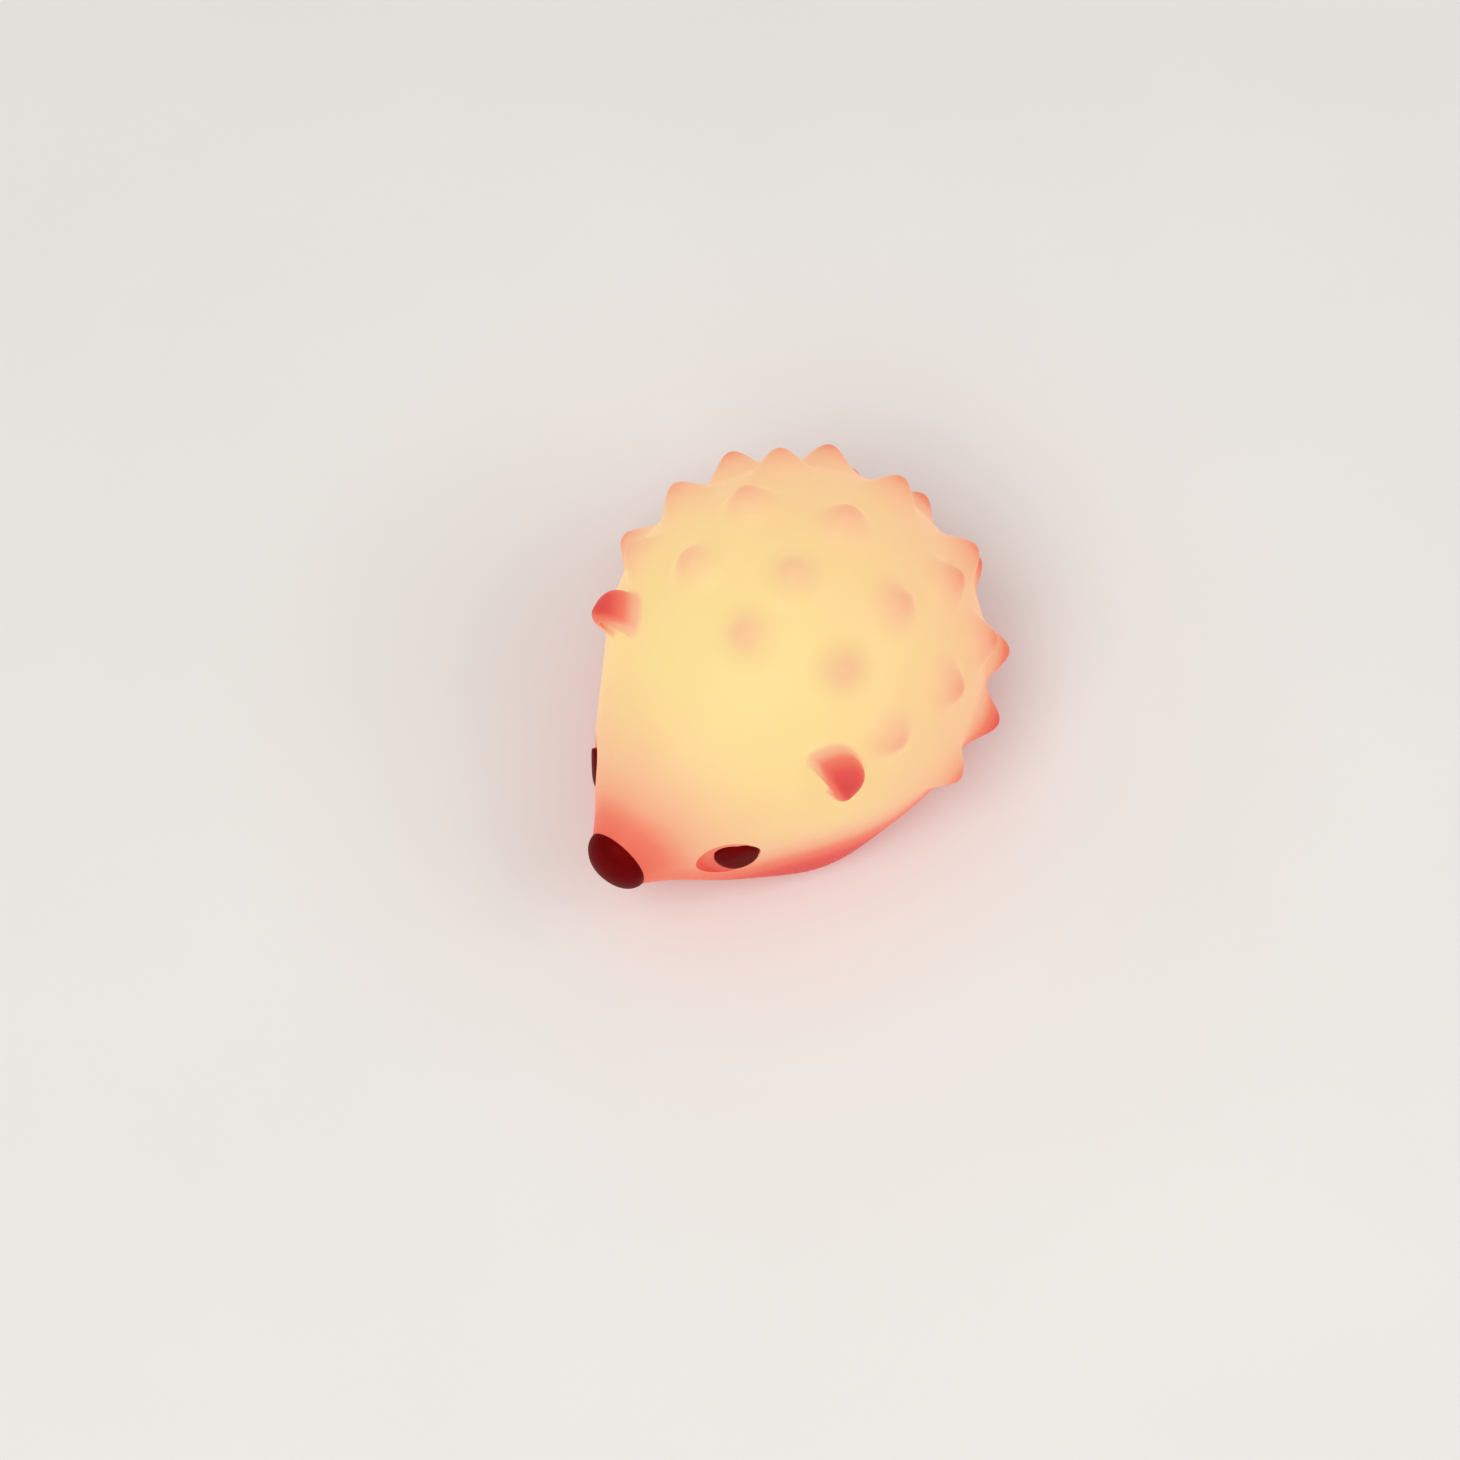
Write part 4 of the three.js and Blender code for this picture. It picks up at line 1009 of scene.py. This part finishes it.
def slide_knob(name):
    """A knob with round ends, three finger ridges and the stem that moves the switch."""
    low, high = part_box("power_switch_knob")
    size = (high.x - low.x, high.y - low.y)
    ridge, cap, edge = 0.35 * MM, 1.1 * MM, 0.25 * MM
    place = at_node("power_switch_knob")
    cap_low, cap_high = low.z + ridge, low.z + ridge + cap
    knob = pill(name, size, size[1] / 2, rounded(cap_low, cap_high, edge), place)
    levels = [(0, cap_low + 0.5 * MM), (0, high.z)]
    combine(knob, "UNION", pill("stem", KNOB_STEM, 0.2 * MM, levels, place, 3))
    levels = rounded(low.z, cap_high - 0.3 * MM, 0.12 * MM)
    for i in (-1, 0, 1):
        at = (place[0] + i * size[0] / 4, place[1], 0)
        combine(knob, "UNION", pill("ridge", (ridge, size[1] / 2), ridge / 2, levels, at, 4))
    return smooth(knob, 40)


def push_button(name):
    """A button with a shallow finger dish and the flange that keeps it in the plate."""
    low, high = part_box("timer_button")
    flange, flange_low = radius_of("timer_button"), high.z - 0.8 * MM
    radius, edge, dish = BUTTON_RADIUS, 0.5 * MM, 0.35 * MM
    bowl = radius - edge - 0.3 * MM
    profile = [(0, low.z + dish)]
    profile += [(bowl * share, low.z + dish * (1 - share**2)) for share in np.linspace(0, 1, 9)[1:]]
    profile += [*rounded_corner(radius, low.z, edge), (radius, flange_low), (flange, flange_low)]
    profile += [(flange, high.z), (0, high.z)]
    return smooth(lathe(name, profile, 72, at_node("timer_button")), 40)


def clear_pipe(name):
    """The pipe that brings the charge light to the underside, its face slightly domed."""
    low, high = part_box("charge_light_pipe")
    radius, collar, dome = PIPE_RADIUS, radius_of("charge_light_pipe"), 0.25 * MM
    collar_low = plate_top + CLEARANCE
    return smooth(lathe(name, [
        (0, low.z), *domed_face(radius, low.z, dome, 7), (radius, collar_low), (collar, collar_low),
        (collar, collar_low + MM), (radius, collar_low + MM), (radius, high.z), (0, high.z),
    ], 48, at_node("charge_light_pipe")), 40)


# Finishes


def per(millimetres):
    """The texture scale at which a pattern's unit is this many millimetres."""
    return 1 / (millimetres * MM)


def feed(tree, made, inputs):
    """Links the inputs that are given as sockets, and sets those that are given as values."""
    for socket, value in inputs.items():
        if isinstance(value, bpy.types.NodeSocket):
            tree.links.new(value, made.inputs[socket])
        else:
            made.inputs[socket].default_value = value


def node(tree, kind, inputs=None, **settings):
    """Adds a node with its settings and inputs."""
    made = tree.nodes.new("ShaderNode" + kind)
    for name, value in settings.items():
        setattr(made, name, value)
    feed(tree, made, inputs or {})
    return made


def start(name):
    """A new finish: its node tree, its shader and the coordinates of the object in metres."""
    made = bpy.data.materials.new(name)
    made.use_nodes = True
    tree = made.node_tree
    shader = tree.nodes["Principled BSDF"]
    return made, tree, shader, node(tree, "TexCoord").outputs["Object"]


def stops(made, colours):
    """Sets a colour ramp's stops from (position, linear colour) pairs."""
    while len(made.color_ramp.elements) > 1:
        made.color_ramp.elements.remove(made.color_ramp.elements[-1])
    for i, (position, shade) in enumerate(colours):
        element = made.color_ramp.elements[0] if i == 0 else made.color_ramp.elements.new(position)
        element.position = position
        element.color = (*shade, 1)
    return made


def shaded(shade, factor):
    """The colour made lighter or darker by a factor."""
    return [min(1, c * factor) for c in shade]


def textured(name, shade, grain, depth, vary, patch, rough, inputs=None):
    """A finish whose colour drifts by a share over patches of this width, and whose gloss and
    height follow a grain of this size and depth, all in mm. Other inputs go by their names."""
    made, tree, shader, where = start(name)
    drift = node(tree, "TexNoise", {"Vector": where, "Scale": per(patch), "Detail": 4.0, "Roughness": 0.55})
    colours = stops(node(tree, "ValToRGB", {"Fac": drift.outputs["Fac"]}), (
        (NOISE_LOW, shaded(shade, 1 - vary)), (NOISE_HIGH, shaded(shade, 1 + vary)),
    ))
    fine = node(tree, "TexNoise", {"Vector": where, "Scale": per(grain), "Detail": 3.0, "Roughness": 0.6})
    gloss = node(tree, "MapRange", {
        "Value": fine.outputs["Fac"], "From Min": NOISE_LOW, "From Max": NOISE_HIGH,
        "To Min": rough[0], "To Max": rough[1],
    })
    bump = node(tree, "Bump", {"Height": fine.outputs["Fac"], "Distance": depth * MM, "Strength": 1.0})
    feed(tree, shader, {
        "Base Color": colours.outputs["Color"], "Roughness": gloss.outputs["Result"],
        "Normal": bump.outputs["Normal"], **(inputs or {}),
    })
    return made


def patterned(name, code, rough, pattern, dark, light, depth):
    """A finish whose colour and height follow a pattern: two positions and shares of the colour
    for its dark and light places, and its depth in mm. The pattern is made by a function."""
    made, tree, shader, where = start(name)
    height = pattern(tree, where)
    colours = stops(node(tree, "ValToRGB", {"Fac": height}), [
        (position, shaded(linear(code), factor)) for position, factor in (dark, light)
    ])
    bump = node(tree, "Bump", {"Height": height, "Distance": depth * MM, "Strength": 1.0})
    feed(tree, shader, {
        "Base Color": colours.outputs["Color"], "Roughness": rough, "Normal": bump.outputs["Normal"],
    })
    return made


def glowing_silicone(share):
    """Milky silicone rubber from a bead-blasted mould: a soft satin skin whose colour comes
    from the warm light inside, pale yellow where it is near and red where it is far."""
    made, tree, shader, where = start("glowing_moulded_silicone")
    path = node(tree, "Attribute", attribute_name="light_path")
    # The wall is a little uneven, over stretches about 16 mm long
    cloud = node(tree, "TexNoise", {"Vector": where, "Scale": per(16), "Detail": 3.0, "Roughness": 0.5})
    uneven = node(tree, "MapRange", {
        "Value": cloud.outputs["Fac"], "From Min": NOISE_LOW, "From Max": NOISE_HIGH,
        "To Min": -UNEVEN_WALL, "To Max": UNEVEN_WALL,
    })
    far = node(tree, "Math", {0: path.outputs["Fac"], 1: uneven.outputs["Result"]}, operation="ADD")
    along = node(tree, "MapRange", {
        "Value": far.outputs["Value"], "From Min": GLOW_NEAR, "From Max": GLOW_FAR,
        "To Min": 0.0, "To Max": 1.0,
    })
    glow = stops(node(tree, "ValToRGB", {"Fac": along.outputs["Result"]}), [
        ((distance * MM - GLOW_NEAR) / (GLOW_FAR - GLOW_NEAR), linear(code))
        for distance, code in GLOW_STOPS
    ])
    # The base colour is painted with the same glow, pale yellow near the core and red far from it, so the
    # skin shows painted light from inside under any lamp
    lit = node(tree, "VectorMath", {0: glow.outputs["Color"], "Scale": 1 - share}, operation="SCALE")
    # A blasted mould leaves pits about 0.35 mm apart, drawn at 0.6 mm so that they show
    pits = node(tree, "TexNoise", {"Vector": where, "Scale": per(0.6), "Detail": 2.0, "Roughness": 0.55})
    satin = node(tree, "MapRange", {
        "Value": pits.outputs["Fac"], "From Min": NOISE_LOW, "From Max": NOISE_HIGH,
        "To Min": 0.42, "To Max": 0.6,
    })
    bump = node(tree, "Bump", {"Height": pits.outputs["Fac"], "Distance": 0.03 * MM, "Strength": 1.0})
    feed(tree, shader, {
        "Base Color": lit.outputs["Vector"], "Roughness": satin.outputs["Result"],
        "Normal": bump.outputs["Normal"], "IOR": 1.41, "Specular IOR Level": 0.35,
        "Emission Color": glow.outputs["Color"], "Emission Strength": share,
    })
    return made


def tinted_acrylic(shade):
    """Tinted acrylic from a finely blasted mould: a deep red-black that hardly mirrors."""
    return textured(
        "satin_tinted_acrylic", shade, grain=0.5, depth=0.008, vary=0.12, patch=5, rough=(0.4, 0.5),
        inputs={"IOR": 1.49, "Specular IOR Level": 0.02},
    )


def spark_eroded_abs(shade):
    """ABS from a spark-eroded mould: a warm white with a fine even grain and a dull sheen."""
    return textured(
        "spark_eroded_abs", shade, grain=0.35, depth=0.03, vary=0.03, patch=20, rough=(0.48, 0.62),
        inputs={"IOR": 1.53},
    )


def frosted_polycarbonate():
    """Polycarbonate with diffusing powder, moulded frosted: a milky dome lit from below."""
    return textured(
        "frosted_polycarbonate", linear("#f5ecd8"), grain=0.4, depth=0.02, vary=0.03, patch=18,
        rough=(0.5, 0.62),
        inputs={"IOR": 1.58, "Emission Color": (*linear("#ffdf9f"), 1), "Emission Strength": 0.6},
    )


def masked_laminate(name, code, rough):
    """Glass-epoxy laminate under solder mask: the cloth's weave shows faintly through the lacquer."""
    def weave(tree, where):
        # A wave texture has 3.2 bands to a unit, so the threads are 0.38 mm apart
        threads = {"Vector": where, "Scale": per(1.2), "Distortion": 0.4}
        warp = node(tree, "TexWave", {**threads, "Detail": 1.0})
        weft = node(tree, "TexWave", threads, bands_direction="Y")
        both = {0: warp.outputs["Fac"], 1: weft.outputs["Fac"]}
        return node(tree, "Math", both, operation="MULTIPLY").outputs["Value"]

    return patterned(name, code, rough, weave, dark=(0.0, 0.88), light=(1.0, 1.1), depth=0.015)


def phosphor_resin():
    """Phosphor under clear silicone resin: bright warm yellow, lit."""
    return textured(
        "phosphor_resin", linear("#ffe1a0"), grain=0.3, depth=0.01, vary=0.06, patch=2, rough=(0.2, 0.3),
        inputs={"Emission Color": (*linear("#ffd890"), 1), "Emission Strength": 1.0},
    )


def laminated_foil():
    """Aluminium foil under nylon film, pressed round the cell: silver with soft wrinkles."""
    return textured(
        "laminated_foil", linear("#c3c7cb"), grain=3.5, depth=0.12, vary=0.05, patch=9,
        rough=(0.25, 0.42), inputs={"Metallic": 0.85},
    )


def nickel_plated_steel():
    """Pressed steel, barrel-plated with nickel: a slightly warm silver with faint rub marks."""
    return textured(
        "nickel_plated_steel", linear("#c9c6c0"), grain=0.5, depth=0.006, vary=0.06, patch=2.5,
        rough=(0.18, 0.34), inputs={"Metallic": 1.0},
    )


def gold_flash():
    """Copper alloy contacts with a thin gold plating: yellow metal, smooth."""
    return textured(
        "gold_flashed_contact", linear("#d9a84e"), grain=0.3, depth=0.003, vary=0.08, patch=1.5,
        rough=(0.2, 0.32), inputs={"Metallic": 1.0},
    )


def cut_foam():
    """Polyurethane foam, die-cut: open cells about 0.5 mm wide, dull and dark."""
    def cells(tree, where):
        return node(tree, "TexVoronoi", {"Vector": where, "Scale": per(0.5)}).outputs["Distance"]

    return patterned("die_cut_foam", "#3a3b40", 0.95, cells, dark=(0.1, 0.4), light=(0.6, 1.2), depth=0.2)


def moulded_rubber(shade):
    """Thermoplastic rubber from a matt mould: pale, dull, with fine scuffs on its face."""
    return textured("moulded_rubber", shade, grain=0.4, depth=0.04, vary=0.06, patch=3, rough=(0.68, 0.85))


def extruded_pvc(name, code):
    """PVC insulation, extruded: even colour with a waxy gloss and faint die lines."""
    return textured(name, linear(code), grain=0.25, depth=0.01, vary=0.08, patch=2, rough=(0.35, 0.5))


def moulded_nylon(shade):
    """Glass-filled nylon, moulded: near black with a satin grain."""
    return textured(
        "glass_filled_nylon", shade, grain=0.3, depth=0.02, vary=0.15, patch=2, rough=(0.42, 0.58)
    )


def clear_acrylic():
    """Clear acrylic, moulded and polished: it carries light and shows the plate round it."""
    return textured(
        "polished_clear_acrylic", linear("#eef4f6"), grain=1.5, depth=0.004, vary=0.02, patch=3,
        rough=(0.05, 0.12), inputs={"IOR": 1.49, "Transmission Weight": 0.85},
    )


def painted_floor(shade):
    """Matt emulsion on board: pale, with the faintest roller texture."""
    return textured(
        "matt_painted_floor", shade, grain=2.5, depth=0.02, vary=0.012, patch=120, rough=(0.75, 0.85)
    )


# Stage


def flat_floor(shade):
    """The floor that the lamp stands on."""
    corners = [(x * FLOOR_HALF, y * FLOOR_HALF, 0) for x, y in ((-1, -1), (1, -1), (1, 1), (-1, 1))]
    floor = mesh_object("floor", corners, [(0, 1, 2, 3)])
    floor.data.materials.append(painted_floor(shade))


def facing(way):
    """The turn at which a lamp or a camera looks against this way."""
    return way.to_track_quat("Z", "Y").to_euler()


def soft_lamps(scene, target):
    """Wide lamps that look at the target."""
    for name, place, size, power in LAMPS:
        lamp = bpy.data.lights.new(name, "AREA")
        lamp.size = size
        lamp.energy = power
        made = bpy.data.objects.new(name, lamp)
        made.location = place
        made.rotation_euler = facing(Vector(place) - target)
        scene.collection.objects.link(made)


def plain_world(scene):
    """Even soft light, with a pale background where the camera, gloss or clear plastic sees it."""
    world = bpy.data.worlds.new("plain_world")
    scene.world = world
    world.use_nodes = True
    tree = world.node_tree
    tree.nodes.clear()
    ray = node(tree, "LightPath")
    seen = ray.outputs["Is Camera Ray"]
    for kind in ("Is Glossy Ray", "Is Transmission Ray"):
        seen = node(tree, "Math", {0: seen, 1: ray.outputs[kind]}, operation="MAXIMUM").outputs["Value"]
    light = node(tree, "Background", {"Color": (1, 1, 1, 1), "Strength": 0.55})
    pale = node(tree, "Background", {"Color": (*linear("#e9e6e1"), 1), "Strength": 1.0})
    mix = node(tree, "MixShader", {
        0: seen, 1: light.outputs["Background"], 2: pale.outputs["Background"],
    })
    node(tree, "OutputWorld", {"Surface": mix.outputs["Shader"]})


def photo_camera(scene, target):
    """The photo's camera, a little off the target by the lens' shift."""
    azimuth, elevation = radians(CAMERA_AZIMUTH), radians(CAMERA_ELEVATION)
    back = Vector((sin(azimuth) * cos(elevation), -cos(azimuth) * cos(elevation), sin(elevation)))
    lens = bpy.data.cameras.new("camera")
    lens.sensor_width = 36
    lens.lens = CAMERA_LENS
    lens.shift_x, lens.shift_y = CAMERA_SHIFT
    lens.clip_start = 0.01
    camera = bpy.data.objects.new("camera", lens)
    camera.location = target + back * CAMERA_DISTANCE
    camera.rotation_euler = facing(back)
    scene.collection.objects.link(camera)
    scene.camera = camera


# Operators


class NIGHTLIGHT_OT_skin(bpy.types.Operator):
    """Build the moulded silicone skin with its quills, ears and eye recesses"""

    bl_idname = "night_light.skin"
    bl_label = "Moulded skin"

    def execute(self, context):
        skin = moulded_skin(context.scene.night_light)
        finish = glowing_silicone(context.scene.night_light_colours.glow_share)
        dressed(skin, finish, "lamp_body", ["silicone_skin"])
        return {"FINISHED"}


class NIGHTLIGHT_OT_face(bpy.types.Operator):
    """Build the nose and both eyes, with the pegs that hold them in the skin"""

    bl_idname = "night_light.face"
    bl_label = "Nose and eyes"

    def execute(self, context):
        sizes = context.scene.night_light
        finish = tinted_acrylic(context.scene.night_light_colours.insert)
        dressed(nose_dome(sizes), finish, "lamp_body", ["nose"])
        body = body_form(sizes, "body")
        body_tree = tree_of(body)
        bpy.data.objects.remove(body)
        for side, name in ((1, "eye_left"), (-1, "eye_right")):
            lens = eye_lens(sizes, side, name + "_lens", body_tree)
            dressed(lens, finish, "lamp_body", [name])
        return {"FINISHED"}


class NIGHTLIGHT_OT_underside(bpy.types.Operator):
    """Build the base plate, its four feet and the four screws that hold the core"""

    bl_idname = "night_light.underside"
    bl_label = "Plate, feet and screws"

    def execute(self, context):
        colours = context.scene.night_light_colours
        plate = moulded_plate()
        dressed(plate, spark_eroded_abs(colours.casing), "lamp_body", ["base_plate"])
        rubber, steel = moulded_rubber(colours.foot), nickel_plated_steel()
        for i in range(1, 5):
            foot, screw = f"foot_{i}", f"case_screw_{i}"
            dressed(rubber_foot("rubber_" + foot, foot), rubber, "lamp_body", [foot])
            dressed(cross_screw("cross_" + screw, screw), steel, "lamp_body", [screw])
        return {"FINISHED"}


class NIGHTLIGHT_OT_controls(bpy.types.Operator):
    """Build the socket, the charge light's pipe, the slide knob and the timer button"""

    bl_idname = "night_light.controls"
    bl_label = "Socket and controls"

    def execute(self, context):
        colours = context.scene.night_light_colours
        steel = bpy.data.materials["nickel_plated_steel"]
        shell, tongue, contacts = charging_socket("pressed_charging_socket")
        for made, finish in ((shell, steel), (tongue, moulded_nylon(colours.switch))):
            made.data.materials.append(finish)
        gold = gold_flash()
        for contact in contacts:
            contact.data.materials.append(gold)
        join(shell, tongue, *contacts)
        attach(shell, "lamp_body")
        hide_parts("charging_socket")
        nylon = bpy.data.materials["glass_filled_nylon"]
        pipe = clear_pipe("clear_light_pipe")
        dressed(pipe, clear_acrylic(), "lamp_body", ["charge_light_pipe"])
        dressed(slide_knob("ridged_slide_knob"), nylon, "power_knob", ["power_switch_knob"])
        casing = bpy.data.materials["spark_eroded_abs"]
        dressed(push_button("dished_push_button"), casing, "timer_key", ["timer_button"])
        return {"FINISHED"}


class NIGHTLIGHT_OT_core(bpy.types.Operator):
    """Finish the core's pieces, whose shapes come from the frame as they are"""

    bl_idname = "night_light.core"
    bl_label = "Core finishes"

    def execute(self, context):
        steel = bpy.data.materials["nickel_plated_steel"]
        nylon = bpy.data.materials["glass_filled_nylon"]
        white = masked_laminate("white_masked_laminate", "#f1f0ea", 0.35)
        phosphor, foam = phosphor_resin(), cut_foam()
        black = extruded_pvc("black_extruded_pvc", "#1d1d1f")
        finishes = {
            "inner_housing": bpy.data.materials["spark_eroded_abs"],
            "diffuser_cap": frosted_polycarbonate(),
            "control_board": masked_laminate("green_masked_laminate", "#1f6b45", 0.3),
            "light_board": white,
            "battery_plug": white,
            "tap_sensor": steel,
            "battery_cell": laminated_foil(),
            "battery_pad_lower": foam,
            "battery_pad_upper": foam,
            "battery_lead_red": extruded_pvc("red_extruded_pvc", "#b3261e"),
            "battery_lead_black": black,
            "light_lead": black,
            "power_switch_body": nylon,
            "timer_switch_body": nylon,
            "timer_plunger": nylon,
            **{f"light_{i}": phosphor for i in range(1, 7)},
            **{f"board_screw_{i}": steel for i in range(1, 5)},
        }
        for name, finish in finishes.items():
            for material_slot in frame["nodes"][name].material_slots:
                material_slot.material = finish
        return {"FINISHED"}


class NIGHTLIGHT_OT_stage(bpy.types.Operator):
    """Set up the floor, the soft lamps, the world and the camera"""

    bl_idname = "night_light.stage"
    bl_label = "Stage"

    def execute(self, context):
        scene = context.scene
        target = Vector(ball_centre(scene.night_light))
        flat_floor(scene.night_light_colours.floor)
        soft_lamps(scene, target)
        plain_world(scene)
        photo_camera(scene, target)
        scene.view_settings.view_transform = "Standard"
        return {"FINISHED"}


class NIGHTLIGHT_PT_build(bpy.types.Panel):
    bl_label = "Night Light"
    bl_idname = "NIGHTLIGHT_PT_build"
    bl_space_type = "VIEW_3D"
    bl_region_type = "UI"
    bl_category = "Night Light"

    def draw(self, context):
        for operator in OPERATORS:
            self.layout.operator(operator.bl_idname)
        for group in (context.scene.night_light, context.scene.night_light_colours):
            box = self.layout.box()
            for name in group.bl_rna.properties.keys():
                if name not in ("rna_type", "name"):
                    box.prop(group, name)


OPERATORS = (
    NIGHTLIGHT_OT_skin, NIGHTLIGHT_OT_face, NIGHTLIGHT_OT_underside,
    NIGHTLIGHT_OT_controls, NIGHTLIGHT_OT_core, NIGHTLIGHT_OT_stage,
)
CLASSES = (NightLightSizes, NightLightColours, *OPERATORS, NIGHTLIGHT_PT_build)


def register():
    for made in CLASSES:
        bpy.utils.register_class(made)
    bpy.types.Scene.night_light = PointerProperty(type=NightLightSizes)
    bpy.types.Scene.night_light_colours = PointerProperty(type=NightLightColours)


def unregister():
    del bpy.types.Scene.night_light_colours
    del bpy.types.Scene.night_light
    for made in reversed(CLASSES):
        bpy.utils.unregister_class(made)


def main():
    register()
    bpy.ops.night_light.skin()
    bpy.ops.night_light.face()
    bpy.ops.night_light.underside()
    bpy.ops.night_light.controls()
    bpy.ops.night_light.core()
    bpy.ops.night_light.stage()


if __name__ == "__main__":
    main()
